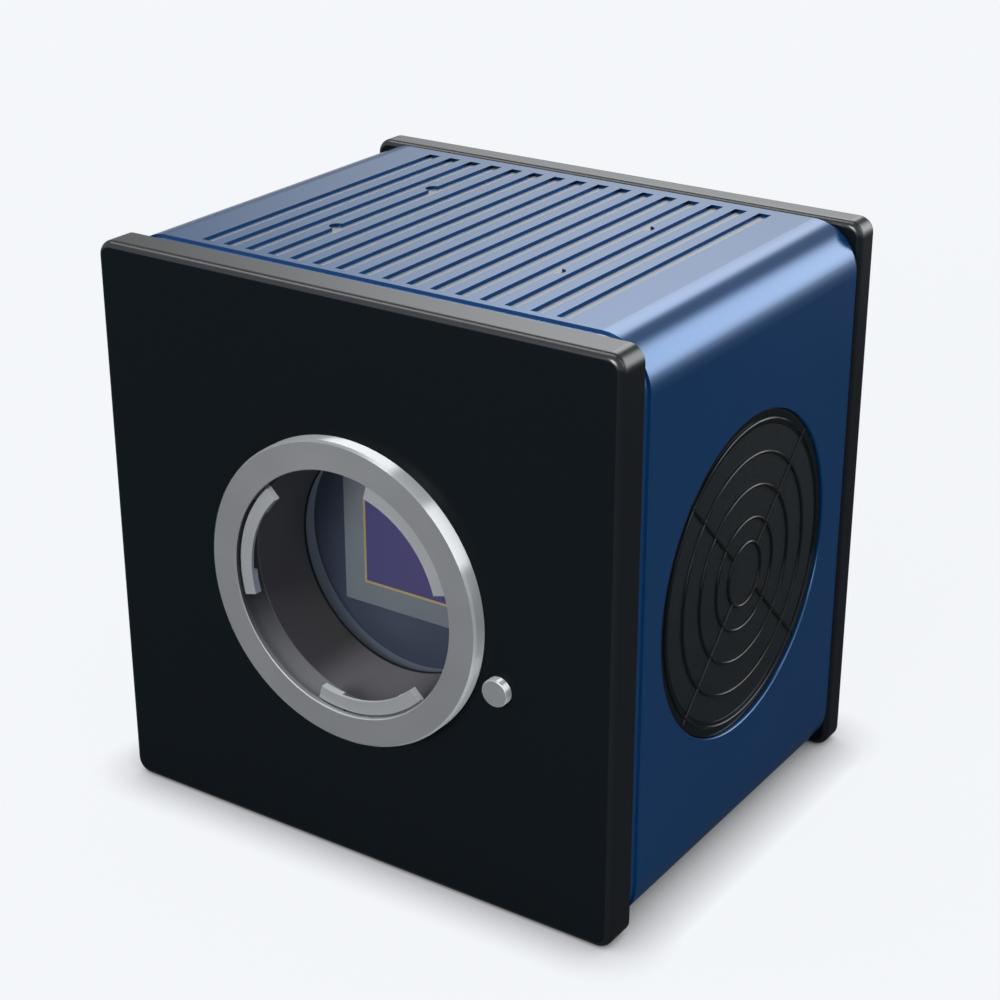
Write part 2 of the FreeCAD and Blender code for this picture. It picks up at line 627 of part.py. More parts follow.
gap_turn = sector(tabs, gap, "H_Axis", "tab_span - 2 * foot_span", "Groove")
polar(tabs, [plate_turn, foot_turn, gap_turn], "Y_Axis", "tab_count")

# Throat tube: a dark cone from the ring's wall to the seal, with a flange on the plate's back
tube = new_part("throat_tube", "0", FRONT, AXIS)
turned(tube, [
    ("ring_deep", "ring_wall_r"),
    ("ring_deep", "spigot_r"),
    ("plate_thick", "spigot_r"),
    ("plate_thick", "flange_r"),
    ("plate_thick + flange_thick", "flange_r"),
    ("plate_thick + flange_thick", "tube_outer_r"),
    ("tube_end", "tube_outer_r"),
    ("tube_end", "tube_rear_r"),
])
drill(tube, TUBE_SPOTS, "tube_screw_r + fit_gap", "plate_thick", "flange_thick")
tube_screws = new_part("tube_screws", "0", FRONT, AXIS)
posts(tube_screws, TUBE_SPOTS, "tube_screw_r", "plate_thick - tube_screw_bite", "flange_thick + tube_screw_bite")
posts(tube_screws, TUBE_SPOTS, "tube_head_r", "plate_thick + flange_thick", "tube_head_tall")

# Seal between the tube and the sensor carrier
gasket = new_part("throat_gasket", "0", FRONT, AXIS)
turned(gasket, [
    ("tube_end", "gasket_r"),
    ("tube_end", "tube_outer_r"),
    (CARRIER_FRONT, "tube_outer_r"),
    (CARRIER_FRONT, "gasket_r"),
])

# Sensor carrier: a plate with a round pocket and a window for the sensor package
carrier = new_part("sensor_carrier", "0", FRONT, AXIS)
CARRIER_HALF = "carrier_size / 2"
outline = sketch(carrier, "front", CARRIER_FRONT)
round_rectangle(outline, minus(CARRIER_HALF), CARRIER_HALF, minus(CARRIER_HALF), CARRIER_HALF, "carrier_corner")
pad(carrier, outline, CARRIER_BACK + " - tube_end - gasket_thick")
drill(carrier, [("0", "0")], "pocket_r", CARRIER_FRONT, "carrier_floor - tube_end - gasket_thick")
window = sketch(carrier, "front", "carrier_floor")
WINDOW_X = "package_wide / 2 + fit_gap"
WINDOW_Z = "package_tall / 2 + fit_gap"
rectangle(window, minus(WINDOW_X), WINDOW_X, minus(WINDOW_Z), WINDOW_Z)
pocket(carrier, window, "carrier_thick")
drill(carrier, POST_SPOTS, "stud_r + fit_gap", CARRIER_FRONT, CARRIER_BACK + " - tube_end - gasket_thick")
carrier_posts = new_part("carrier_posts", "0", FRONT, AXIS)
posts(carrier_posts, POST_SPOTS, "post_r", "plate_thick", CARRIER_FRONT + " - plate_thick")
posts(carrier_posts, POST_SPOTS, "stud_r", "plate_thick", "stud_bite", True)
drill(carrier_posts, POST_SPOTS, "stud_r", CARRIER_FRONT, "stud_bite", True)

# Sensor: package with a stepped cavity, gold seal frame, window and die
package = new_part("sensor_package", "0", FRONT, AXIS)
slab(package, "package_wide", "package_tall", PACKAGE_FACE, "package_proud + carrier_thick + spacer_tall")
cavity = sketch(package, "front", PACKAGE_FACE)
rectangle(cavity, "-seal_wide / 2", "seal_wide / 2", "-seal_tall / 2", "seal_tall / 2")
pocket(package, cavity, "glass_thick + die_thick")
seal = new_part("seal_frame", "0", FRONT, AXIS)
slab(seal, "seal_wide", "seal_tall", PACKAGE_FACE, "glass_thick + die_thick")
PANE_X = "seal_wide / 2 - seal_line"
PANE_Z = "seal_tall / 2 - seal_line"
pane = sketch(seal, "front", PACKAGE_FACE)
rectangle(pane, minus(PANE_X), PANE_X, minus(PANE_Z), PANE_Z)
pocket(seal, pane, "glass_thick + die_thick")
glass = new_part("sensor_window", "0", FRONT, AXIS)
block(glass, minus(PANE_X), PANE_X, minus(PANE_Z), PANE_Z, PACKAGE_FACE, "glass_thick")
die = new_part("sensor_die", "0", FRONT, AXIS)
block(die, minus(PANE_X), PANE_X, minus(PANE_Z), PANE_Z, PACKAGE_FACE + " + glass_thick", "die_thick")

# Circuit boards and what holds them apart
sensor_board = new_part("sensor_board", "0", FRONT, AXIS)
slab(sensor_board, "sensor_board_wide", "sensor_board_tall", SENSOR_BOARD, "board_thick")
spacers = new_part("board_spacers", "0", FRONT, AXIS)
SPACER_SPOTS = corners("sensor_board_wide / 2 - spacer_inset", "sensor_board_tall / 2 - spacer_inset")
posts(spacers, SPACER_SPOTS, "spacer_r", CARRIER_BACK, "spacer_tall")
links = new_part("board_connectors", "0", FRONT, AXIS)
LINK_LONG = "main_at - board_thick - (" + SENSOR_BOARD + ")"
item = sketch(links, "front", SENSOR_BOARD + " + board_thick")
rectangle(item, "-link_wide / 2", "link_wide / 2", "link_at - link_tall / 2", "link_at + link_tall / 2")
rectangle(item, "-link_wide / 2", "link_wide / 2", "-link_at - link_tall / 2", "link_tall / 2 - link_at")
pad(links, item, LINK_LONG)
standoffs = new_part("board_standoffs", "0", FRONT, AXIS)
posts(standoffs, POST_SPOTS, "post_r", CARRIER_BACK, "main_at - carrier_floor - carrier_thick")
posts(standoffs, POST_SPOTS, "stud_r", CARRIER_BACK, CARRIER_BACK + " - tube_end - gasket_thick + stud_bite", True)
drill(standoffs, POST_SPOTS, "stud_r", "main_at", "stud_bite", True)
main_board = new_part("main_board", "0", FRONT, AXIS)
slab(main_board, "board_wide", "board_tall", "main_at", "board_thick")
drill(main_board, POST_SPOTS, "stud_r + fit_gap", "main_at", "board_thick")
chip = new_part("processor", "0", FRONT, AXIS)
slab(chip, "chip_size", "chip_size", MAIN_BACK, "chip_tall")
bridge = new_part("heat_bridge", "0", FRONT, AXIS)
block(bridge, "-chip_size / 2", "chip_size / 2", "-chip_size / 2", INNER_TOP + " - spreader_thick",
      MAIN_BACK + " + chip_tall", "bridge_thick")
riser = new_part("riser_board", "0", FRONT, AXIS)
block(riser, "-riser_wide / 2", "riser_wide / 2", "-riser_drop - board_thick / 2", "board_thick / 2 - riser_drop",
      MAIN_BACK, "body_depth - rear_thick - socket_gap - board_thick - (" + MAIN_BACK + ")")
socket_board = new_part("socket_board", "0", REAR, AXIS)
slab(socket_board, "board_wide", "board_tall", SOCKET_BOARD, "board_thick")
drill(socket_board, SOCKET_SPOTS, "stud_r + fit_gap", SOCKET_BOARD, "board_thick")
socket_posts = new_part("socket_standoffs", "0", REAR, AXIS)
posts(socket_posts, SOCKET_SPOTS, "post_r", "-socket_gap", "socket_gap")
posts(socket_posts, SOCKET_SPOTS, "stud_r", "0", "stud_bite")
drill(socket_posts, SOCKET_SPOTS, "stud_r", "-socket_gap", "stud_bite")
board_screws = new_part("board_screws", "0", FRONT, AXIS)
posts(board_screws, POST_SPOTS, "stud_r", MAIN_BACK, "board_thick + stud_bite", True)
posts(board_screws, POST_SPOTS, "board_head_r", MAIN_BACK, "board_head_tall")
BOARD_FACE = "body_depth - rear_thick - socket_gap - board_thick"
posts(board_screws, SOCKET_SPOTS, "stud_r", BOARD_FACE, "board_thick + stud_bite")
posts(board_screws, SOCKET_SPOTS, "board_head_r", BOARD_FACE, "board_head_tall", True)

# Tie rods from plate to plate and the screws that pull the back plate on
rods = new_part("tie_rods", "0", FRONT, AXIS)
posts(rods, ROD_SPOTS, "rod_r", "plate_thick", SLEEVE_LONG)
posts(rods, ROD_SPOTS, "rod_stud_r", "plate_thick", "rod_stud_bite", True)
drill(rods, ROD_SPOTS, "rod_stud_r", "body_depth - rear_thick", "rod_screw_bite", True)
back_screws = new_part("back_screws", "0", REAR, AXIS)
posts(back_screws, ROD_SPOTS, "rod_stud_r", "-rod_screw_bite", "rod_screw_bite + rear_thick - rod_head_tall")
posts(back_screws, ROD_SPOTS, "rod_head_r", "rear_thick - rod_head_tall", "rod_head_tall")
drill(back_screws, ROD_SPOTS, "hex_r", "rear_thick", "hex_deep", True)

# Release button with its collar, spring and plug
button = new_part("release_button", "button_x", FRONT, AXIS + " - button_drop")
posts(button, [("0", "0")], "button_r", "-button_proud", "button_proud + collar_at")
dress(button, "Fillet", edges_at(button, -value("button_proud")), "button_edge")
posts(button, [("0", "0")], "collar_r", "collar_at", "collar_thick")
COIL_START = "collar_at + collar_thick + coil_wire_r"
spring = new_part("release_spring", "button_x", FRONT, AXIS + " - button_drop")
coil(spring, "coil_wire_r", "coil_r", COIL_START, PLUG_FACE + " - coil_wire_r - (" + COIL_START + ")", "coil_turns")
plug = new_part("button_plug", "button_x", FRONT, AXIS + " - button_drop")
posts(plug, [("0", "0")], "collar_r + collar_gap", PLUG_FACE, "plug_thick")


GUARD_RINGS = ["guard_ring_r", "guard_ring_r - guard_pitch", "guard_ring_r - 2 * guard_pitch",
               "guard_ring_r - 3 * guard_pitch", "guard_hub_r"]


def vent_pieces(guard_label, filter_label, across, turn):
    """A guard of rings and crossed spokes in a rim, with the filter inside the rim."""
    guard = new_part(guard_label, across, "0", AXIS)
    pad_disc = new_part(filter_label, across, "0", AXIS)
    for body in (guard, pad_disc):
        body.Placement = FreeCAD.Placement(body.Placement.Base, FreeCAD.Rotation(FreeCAD.Vector(0, 0, 1), turn))
    rings = sketch(guard, "front")
    rectangle(rings, "-vent_recess_deep", "-filter_sink", "filter_r", "vent_recess_r - fit_gap")
    for middle in GUARD_RINGS:
        rectangle(rings, "-filter_sink", "-guard_sink", middle + " - guard_line / 2", middle + " + guard_line / 2")
    revolve(guard, rings, "H_Axis")
    spoke = sketch(guard, "side", "-filter_sink")
    reach = "(vent_recess_r - fit_gap - guard_line)"
    polygon(spoke, [
        ("guard_hub_r * cos(spoke_turn) - guard_line / 2 * sin(spoke_turn)",
         "guard_hub_r * sin(spoke_turn) + guard_line / 2 * cos(spoke_turn)"),
        ("guard_hub_r * cos(spoke_turn) + guard_line / 2 * sin(spoke_turn)",
         "guard_hub_r * sin(spoke_turn) - guard_line / 2 * cos(spoke_turn)"),
        (reach + " * cos(spoke_turn) + guard_line / 2 * sin(spoke_turn)",
         reach + " * sin(spoke_turn) - guard_line / 2 * cos(spoke_turn)"),
        (reach + " * cos(spoke_turn) - guard_line / 2 * sin(spoke_turn)",
         reach + " * sin(spoke_turn) + guard_line / 2 * cos(spoke_turn)"),
    ])
    spoke_pad = pad(guard, spoke, "filter_sink - guard_sink")
    polar(guard, [spoke_pad], "X_Axis", "4")
    posts(pad_disc, [("0", "0")], "filter_r", "-vent_recess_deep", "vent_recess_deep - filter_sink", False, "side")


vent_pieces("fan_guard", "fan_filter", SIDE, 0)
vent_pieces("outlet_guard", "outlet_filter", minus(SIDE), 180)

# Fan frame: a duct in a square with a bearing tube on four struts
fan_frame = new_part("fan_frame", SIDE, "0", AXIS)
outline = sketch(fan_frame, "side", FAN_BACK)
round_rectangle(outline, "-fan_size / 2", "fan_size / 2", "-fan_size / 2", "fan_size / 2", "fan_corner")
circle(outline, "0", "0", "duct_r")
circles(outline, FAN_SPOTS, "fan_hole_r")
pad(fan_frame, outline, "fan_thick")
struts = sketch(fan_frame, "side", FAN_BACK)
STRUT_END = "duct_r + (fan_size / 2 - duct_r) / 2"
polygon(struts, [
    ("strut_wide / 2", "strut_wide / 2"), ("strut_wide / 2", STRUT_END),
    ("-strut_wide / 2", STRUT_END), ("-strut_wide / 2", "strut_wide / 2"),
    (minus(STRUT_END), "strut_wide / 2"), (minus(STRUT_END), "-strut_wide / 2"),
    ("-strut_wide / 2", "-strut_wide / 2"), ("-strut_wide / 2", minus(STRUT_END)),
    ("strut_wide / 2", minus(STRUT_END)), ("strut_wide / 2", "-strut_wide / 2"),
    (STRUT_END, "-strut_wide / 2"), (STRUT_END, "strut_wide / 2"),
])
pad(fan_frame, struts, "strut_thick")
posts(fan_frame, [("0", "0")], "hub_r", FAN_BACK, "strut_thick", False, "side")
posts(fan_frame, [("0", "0")], "bearing_r", FAN_BACK, "strut_thick + bearing_tall", False, "side")
drill(fan_frame, [("0", "0")], "shaft_r + run_gap", STRUT_FACE, "bearing_tall", False, "side")

# Fan rotor: a cup on a shaft with twisted blades, each lofted from the hub to the tip
rotor = new_part("fan_rotor", SIDE, "0", AXIS)
profile = sketch(rotor, "front")
polygon(profile, [
    (HUB_FACE, "0"), (HUB_FACE + " + hub_face", "0"), (HUB_FACE + " + hub_face", "hub_r"), (HUB_OPEN, "hub_r"),
    (HUB_OPEN, "hub_r - hub_wall"), (HUB_FACE, "hub_r - hub_wall"), (HUB_FACE, "shaft_r"),
    (HUB_OPEN, "shaft_r"), (HUB_OPEN, "0"),
])
revolve(rotor, profile, "H_Axis")


def blade_outline(level, chord):
    """The blade's slanted section at one distance from the axis."""
    item = sketch(rotor, "top", level)
    polygon(item, [
        (HUB_OPEN, minus(chord + " / 2")), (HUB_OPEN + " + blade_thick", minus(chord + " / 2")),
        (HUB_FACE + " + hub_face", chord + " / 2"), (HUB_FACE + " + hub_face - blade_thick", chord + " / 2"),
    ])
    return item


blade = rotor.newObject("PartDesign::AdditiveLoft", "fan_rotor_blade")
blade.Profile = blade_outline("hub_r - blade_sink", "blade_root_chord")
blade.Sections = [blade_outline("blade_tip_r", "blade_tip_chord")]
finish(rotor, blade)
polar(rotor, [blade], "X_Axis", "blade_count")

# Screws that hold the fan to the sleeve's wall
fan_screws = new_part("fan_screws", SIDE, "0", AXIS)
posts(fan_screws, FAN_SPOTS, "fan_screw_r", FAN_BACK, "fan_thick + fan_screw_bite", False, "side")
posts(fan_screws, FAN_SPOTS, "fan_head_r", FAN_BACK, "fan_head_tall", True, "side")

# Tripod insert: a flanged bush in the floor with a blind threaded bore
insert = new_part("tripod_insert")
profile = sketch(insert, "front")
polygon(profile, [
    ("thread_r", "0"), ("insert_r", "0"), ("insert_r", "sleeve_wall"), ("insert_flange_r", "sleeve_wall"),
    ("insert_flange_r", "sleeve_wall + insert_flange"), ("insert_r", "sleeve_wall + insert_flange"),
    ("insert_r", "insert_tall"), ("0", "insert_tall"), ("0", "thread_deep"), ("thread_r", "thread_deep"),
])
revolve(insert, profile, "V_Axis")

# Back plate: a slab rounded on both faces, cut for the sockets, the light, the button and the screws
back_plate = new_part("back_plate", "0", REAR, AXIS)
REAR_HALF = "plate_size / 2 + rear_over"
outline = sketch(back_plate, "front")
round_rectangle(outline, minus(REAR_HALF), REAR_HALF, minus(HALF), REAR_HALF, "plate_corner")
pad(back_plate, outline, "rear_thick")
dress(back_plate, "Fillet", edges_at(back_plate, 0) + edges_at(back_plate, value("rear_thick")), "rear_edge")
drill(back_plate, ROD_SPOTS, "rod_stud_r + fit_gap", "0", "rear_thick")
drill(back_plate, ROD_SPOTS, "rod_head_r + fit_gap", "rear_thick", "rod_head_tall", True)
drill(back_plate, SOCKET_SPOTS, "stud_r", "0", "stud_bite")
POWER_SPOT = [("power_x", "power_z")]
TRIGGER_SPOTS = [("trigger_x", "trigger_z"), ("trigger_x - trigger_pitch", "trigger_z")]
drill(back_plate, POWER_SPOT, "power_r + fit_gap", "0", "rear_thick")
drill(back_plate, TRIGGER_SPOTS, "trigger_r + fit_gap", "0", "rear_thick")
drill(back_plate, [("lamp_x", "lamp_z")], "lamp_r + fit_gap", "0", "rear_thick")
drill(back_plate, [("key_x", "key_z")], "key_r + run_gap", "0", "rear_thick")


def net_outline(item, wide, tall):
    rectangle(item, "net_x - " + wide, "net_x + " + wide, "net_z - " + tall, "net_z + " + tall)


opening = sketch(back_plate, "front")
net_outline(opening, "(net_wide / 2 + fit_gap)", "(net_tall / 2 + fit_gap)")
pocket(back_plate, opening, "rear_thick")

# Round sockets: a tube with a flange on the back plate, a closed floor and pins inside
SOCKET_LONG = "socket_gap + rear_thick + socket_proud"
SOCKET_MOUTH = "rear_thick + socket_proud"
SOCKET_FLOOR = SOCKET_MOUTH + " - socket_deep"


def round_sockets(label, pin_label, spots, radius, pin_spots):
    body = new_part(label, "0", REAR, AXIS)
    posts(body, spots, radius, "-socket_gap", SOCKET_LONG)
    posts(body, spots, radius + " + socket_lip", "rear_thick", "socket_proud")
    drill(body, spots, radius + " - socket_wall", SOCKET_MOUTH, "socket_deep", True)
    pins = new_part(pin_label, "0", REAR, AXIS)
    posts(pins, pin_spots, "pin_r", SOCKET_FLOOR, "pin_long")


PIN_SPOTS = [("power_x + " + across, "power_z + " + up) for across, up in corners("pin_spread", "pin_spread")]
round_sockets("power_socket", "power_pins", POWER_SPOT, "power_r", PIN_SPOTS)
round_sockets("trigger_sockets", "trigger_pins", TRIGGER_SPOTS, "trigger_r", TRIGGER_SPOTS)

# Network socket: a square shell with a rectangular mouth and a row of contacts
net = new_part("network_socket", "0", REAR, AXIS)
outline = sketch(net, "front", "-socket_gap")
net_outline(outline, "net_wide / 2", "net_tall / 2")
pad(net, outline, "socket_gap + rear_thick")
mouth = sketch(net, "front", "rear_thick")
net_outline(mouth, "net_mouth_wide / 2", "net_mouth_tall / 2")
pocket(net, mouth, "net_deep", True)
contacts = new_part("network_contacts", "0", REAR, AXIS)
FIRST_CONTACT = "net_x - contact_pitch * (contact_count - 1) / 2"
contact = block(contacts, FIRST_CONTACT + " - contact_wide / 2", FIRST_CONTACT + " + contact_wide / 2",
                "net_z + net_mouth_tall / 2 - contact_tall", "net_z + net_mouth_tall / 2",
                "rear_thick - net_deep", "contact_long")
row_of(contacts, [contact], "X_Axis", "contact_pitch * (contact_count - 1)", "contact_count")

# Status light: a clear pipe from the socket board to the back face
lamp = new_part("status_light", "0", REAR, AXIS)
posts(lamp, [("lamp_x", "lamp_z")], "lamp_r", "-socket_gap", "socket_gap + rear_thick + lamp_proud")

# Power button with its collar and stem, spring and switch body
key = new_part("power_button", "key_x", REAR, AXIS + " + key_z")
posts(key, [("0", "0")], "key_r", "0", "rear_thick + key_proud")
dress(key, "Fillet", edges_at(key, value("rear_thick + key_proud")), "key_edge")
posts(key, [("0", "0")], "key_collar_r", "0", "key_collar", True)
STEM_LONG = "socket_gap - switch_tall - key_collar + stem_reach"
posts(key, [("0", "0")], "stem_r", "-key_collar", STEM_LONG, True)
switch = new_part("switch_body", "key_x", REAR, AXIS + " + key_z")
slab(switch, "switch_size", "switch_size", "-socket_gap", "switch_tall")
SWITCH_FACE = "switch_tall - socket_gap"
drill(switch, [("0", "0")], "stem_r + run_gap", SWITCH_FACE, "stem_reach + key_travel + stem_clear", True)
key_spring = new_part("power_spring", "key_x", REAR, AXIS + " + key_z")
KEY_START = SWITCH_FACE + " + key_wire_r"
coil(key_spring, "key_wire_r", "key_coil_r", KEY_START, "-key_collar - key_wire_r - (" + KEY_START + ")", "key_turns")

doc.recompute()
for item in doc.Objects:
    if "Invalid" in item.State or "Error" in item.State:
        raise RuntimeError(item.Label + " is " + ", ".join(item.State))
os.makedirs("parts", exist_ok=True)
for body in parts:
    if body.Shape.isNull() or not body.Shape.isValid():
        raise RuntimeError(body.Label + " has no valid shape")
    body.Shape.exportStep("parts/" + body.Label + ".step")
    print(body.Label, len(body.Shape.Solids), "%.1f" % body.Shape.Volume)
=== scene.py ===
"""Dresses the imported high-speed camera.

Its solids get their finishes, fine pieces go over them, and a pale studio goes around.
"""

import json
import logging
import math
from dataclasses import dataclass, field
from enum import Enum
from typing import ClassVar

import bmesh
import bpy
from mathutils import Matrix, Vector

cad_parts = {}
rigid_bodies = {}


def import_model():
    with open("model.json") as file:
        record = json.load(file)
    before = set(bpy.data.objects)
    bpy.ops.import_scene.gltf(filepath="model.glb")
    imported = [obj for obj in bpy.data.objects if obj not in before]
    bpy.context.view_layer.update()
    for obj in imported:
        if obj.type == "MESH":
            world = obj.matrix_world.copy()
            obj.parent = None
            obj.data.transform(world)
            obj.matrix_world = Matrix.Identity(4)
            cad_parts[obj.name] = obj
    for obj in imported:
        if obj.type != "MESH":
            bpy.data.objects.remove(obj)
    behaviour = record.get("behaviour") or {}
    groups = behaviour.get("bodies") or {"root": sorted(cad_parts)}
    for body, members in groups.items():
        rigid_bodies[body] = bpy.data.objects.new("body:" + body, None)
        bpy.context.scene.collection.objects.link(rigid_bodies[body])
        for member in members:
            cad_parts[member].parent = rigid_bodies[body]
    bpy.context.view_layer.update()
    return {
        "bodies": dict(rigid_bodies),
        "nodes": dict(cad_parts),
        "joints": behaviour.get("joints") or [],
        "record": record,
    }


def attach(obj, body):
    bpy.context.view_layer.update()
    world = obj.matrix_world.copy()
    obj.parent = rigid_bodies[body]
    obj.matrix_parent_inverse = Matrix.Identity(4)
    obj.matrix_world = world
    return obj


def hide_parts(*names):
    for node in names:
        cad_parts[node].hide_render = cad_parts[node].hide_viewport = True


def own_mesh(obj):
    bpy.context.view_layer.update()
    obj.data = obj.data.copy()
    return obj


log = logging.getLogger("camera")
Pair = tuple[float, float]
# Where a soft step starts and where it ends.
Span = Pair
Triple = tuple[float, float, float]
Colour = Triple
EVEN: Triple = (1.0, 1.0, 1.0)
NOWHERE: Triple = (0.0, 0.0, 0.0)
QUARTER = math.pi / 2
MM = 0.001
# The height of the lens axis, which the vents and the back screws share.
AXIS = 55.0 * MM
# Points that lie closer than this become one.
MERGE = 0.001 * MM
# Added to a square that is divided by, so that it is never nothing.
TINY = 1e-6
# The octaves of a noise: plain columns, most grains, and clouds.
PLAIN, GRAINY, CLOUDY = 1.0, 2.0, 3.0


class Wire:
    """A socket that takes part in Python arithmetic."""

    def __init__(self, tree: "Tree", socket: bpy.types.NodeSocket) -> None:
        """Keeps the socket and the tree it belongs to."""
        self.tree = tree
        self.socket = socket

    def _math(self, operation: str, first: "Wire | float", second: "Wire | float" = 0.0) -> "Wire":
        """Adds one Math node.

        Args:
            operation: The node's operation.
            first: Its first value.
            second: Its second value.

        Returns:
            The node's result.
        """
        return self.tree.add("ShaderNodeMath", {"operation": operation}, {0: first, 1: second})

    def __add__(self, other: "Wire | float") -> "Wire":
        """self + other."""
        return self._math("ADD", self, other)

    __radd__ = __add__

    def __sub__(self, other: "Wire | float") -> "Wire":
        """self - other."""
        return self._math("SUBTRACT", self, other)

    def __rsub__(self, other: "Wire | float") -> "Wire":
        """other - self."""
        return self._math("SUBTRACT", other, self)

    def __mul__(self, other: "Wire | float") -> "Wire":
        """self * other."""
        return self._math("MULTIPLY", self, other)

    __rmul__ = __mul__

    def __truediv__(self, other: "Wire | float") -> "Wire":
        """self / other."""
        return self._math("DIVIDE", self, other)

    def __rtruediv__(self, other: "Wire | float") -> "Wire":
        """other / self."""
        return self._math("DIVIDE", other, self)

    def __gt__(self, other: "Wire | float") -> "Wire":
        """1 where self is greater, else 0."""
        return self._math("GREATER_THAN", self, other)

    def __lt__(self, other: "Wire | float") -> "Wire":
        """1 where self is smaller, else 0."""
        return self._math("LESS_THAN", self, other)

    def __abs__(self) -> "Wire":
        """The value without its sign."""
        return self._math("ABSOLUTE", self)

    def __pow__(self, other: float) -> "Wire":
        """self to a power."""
        return self._math("POWER", self, other)

    def least(self, other: "Wire | float") -> "Wire":
        """The smaller of the two."""
        return self._math("MINIMUM", self, other)

    def most(self, other: "Wire | float") -> "Wire":
        """The greater of the two."""
        return self._math("MAXIMUM", self, other)

    def clamp(self) -> "Wire":
        """The value held between 0 and 1."""
        return self.most(0.0).least(1.0)

    def reach(self, other: "Wire") -> "Wire":
        """The length of a flat vector from its two numbers."""
        return (self * self + other * other) ** 0.5

    def bearing(self, other: "Wire") -> "Wire":
        """How much of a flat vector's direction lies along the first of its two numbers."""
        return self / (self * self + other * other + TINY) ** 0.5


class Tree:
    """A node tree that one method fills."""

    def __init__(self, tree: bpy.types.NodeTree) -> None:
        """Starts with an empty tree."""
        self.tree = tree
        self.tree.nodes.clear()

    def add(self, kind: str, settings: dict | None = None, inputs: dict | None = None,
            output: int | str = 0) -> Wire | None:
        """Adds a node.

        Args:
            kind: The node's type.
            settings: Its properties, set first.
            inputs: Values or wires for its sockets, by name or number.
            output: The socket that is handed back.

        Returns:
            That output as a wire, or None for a node that ends the tree.
        """
        node = self.tree.nodes.new(kind)
        for key, value in (settings or {}).items():
            setattr(node, key, value)
        for key, value in (inputs or {}).items():
            if isinstance(value, Wire):
                self.tree.links.new(value.socket, node.inputs[key])
            else:
                node.inputs[key].default_value = value
        return Wire(self, node.outputs[output]) if len(node.outputs) else None

    def vector(self, x: Wire | float = 0.0, y: Wire | float = 0.0, z: Wire | float = 0.0) -> Wire:
        """A vector from its three numbers."""
        return self.add("ShaderNodeCombineXYZ", inputs={0: x, 1: y, 2: z})

    def parts(self, vector: Wire) -> tuple[Wire, Wire, Wire]:
        """The three numbers of a vector."""
        first = self.add("ShaderNodeSeparateXYZ", inputs={0: vector})
        outputs = first.socket.node.outputs
        return first, Wire(self, outputs[1]), Wire(self, outputs[2])


class Recipe(Tree):
    """The shader of a material or a world."""

    def __init__(self, holder: bpy.types.Material | bpy.types.World) -> None:
        """Takes over the holder's tree."""
        holder.use_nodes = True
        self.holder = holder
        super().__init__(holder.node_tree)

    @classmethod
    def named(cls, name: str) -> "Recipe":
        """The recipe of a new material."""
        return cls(bpy.data.materials.new(name))

    def place(self, stretch: Triple = EVEN) -> Wire:
        """Object coordinates, each axis stretched by a factor."""
        spot = self.add("ShaderNodeTexCoord", output="Object")
        return self.add("ShaderNodeMapping", inputs={"Vector": spot, "Scale": stretch})

    def facing(self) -> tuple[Wire, Wire, Wire]:
        """The three numbers of the object's own normal."""
        return self.parts(self.add("ShaderNodeTexCoord", output="Normal"))

    def noise(self, scale: float, detail: float = GRAINY, stretch: Triple = EVEN) -> Wire:
        """A noise value.

        Args:
            scale: Its fineness per metre.
            detail: Its octaves.
            stretch: How it is drawn out along the axes.

        Returns:
            The value, about 0.5.
        """
        inputs = {"Vector": self.place(stretch), "Scale": scale, "Detail": detail}
        return self.add("ShaderNodeTexNoise", inputs=inputs)

    def mix(self, factor: Wire, first: Wire | Colour, second: Wire | Colour) -> Wire:
        """A colour between two.

        Args:
            factor: Where between them.
            first: The colour at 0.
            second: The colour at 1.

        Returns:
            The mixed colour.
        """
        low, high = (end if isinstance(end, Wire) else (*end, 1.0) for end in (first, second))
        return self.add("ShaderNodeMix", {"data_type": "RGBA"}, {0: factor, 6: low, 7: high},
                        output=2)

    def step(self, amount: Wire, low: float, high: float) -> Wire:
        """A soft step.

        Args:
            amount: The value that is looked at.
            low: Where the step starts.
            high: Where it ends; a fall where it lies below the start.

        Returns:
            0 before the start, 1 past the end, smooth between.
        """
        return self.add("ShaderNodeMapRange", {"interpolation_type": "SMOOTHSTEP"},
                        {0: amount, 1: low, 2: high, 3: 0.0, 4: 1.0})

    def bump(self, height: Wire, depth: float, normal: Wire | None = None) -> Wire:
        """A normal from a relief.

        Args:
            height: The relief, from 0 to 1.
            depth: What 1 is in metres.
            normal: The normal that it starts from, if not the surface's own.

        Returns:
            The normal.
        """
        inputs = {"Height": height, "Distance": depth, "Strength": 1.0}
        if normal is not None:
            inputs["Normal"] = normal
        return self.add("ShaderNodeBump", inputs=inputs)

    def shader(self, **inputs: Wire | float | Colour) -> Wire:
        """A Principled shader.

        Args:
            inputs: Its sockets, with underscores for spaces.

        Returns:
            The shader's output.
        """
        named = {}
        for key, value in inputs.items():
            named[key.replace("_", " ")] = (*value, 1.0) if isinstance(value, tuple) else value
        return self.add("ShaderNodeBsdfPrincipled", inputs=named)

    def blend(self, factor: Wire, first: Wire, second: Wire) -> Wire:
        """A shader between two."""
        return self.add("ShaderNodeMixShader", inputs={0: factor, 1: first, 2: second})

    def end(self, shader: Wire) -> bpy.types.Material:
        """Ends the tree in a shader and hands back the material."""
        self.add("ShaderNodeOutputMaterial", inputs={"Surface": shader})
        return self.holder

    def surface(self, **inputs: Wire | float | Colour) -> bpy.types.Material:
        """Ends the tree in one Principled shader with these sockets."""
        return self.end(self.shader(**inputs))


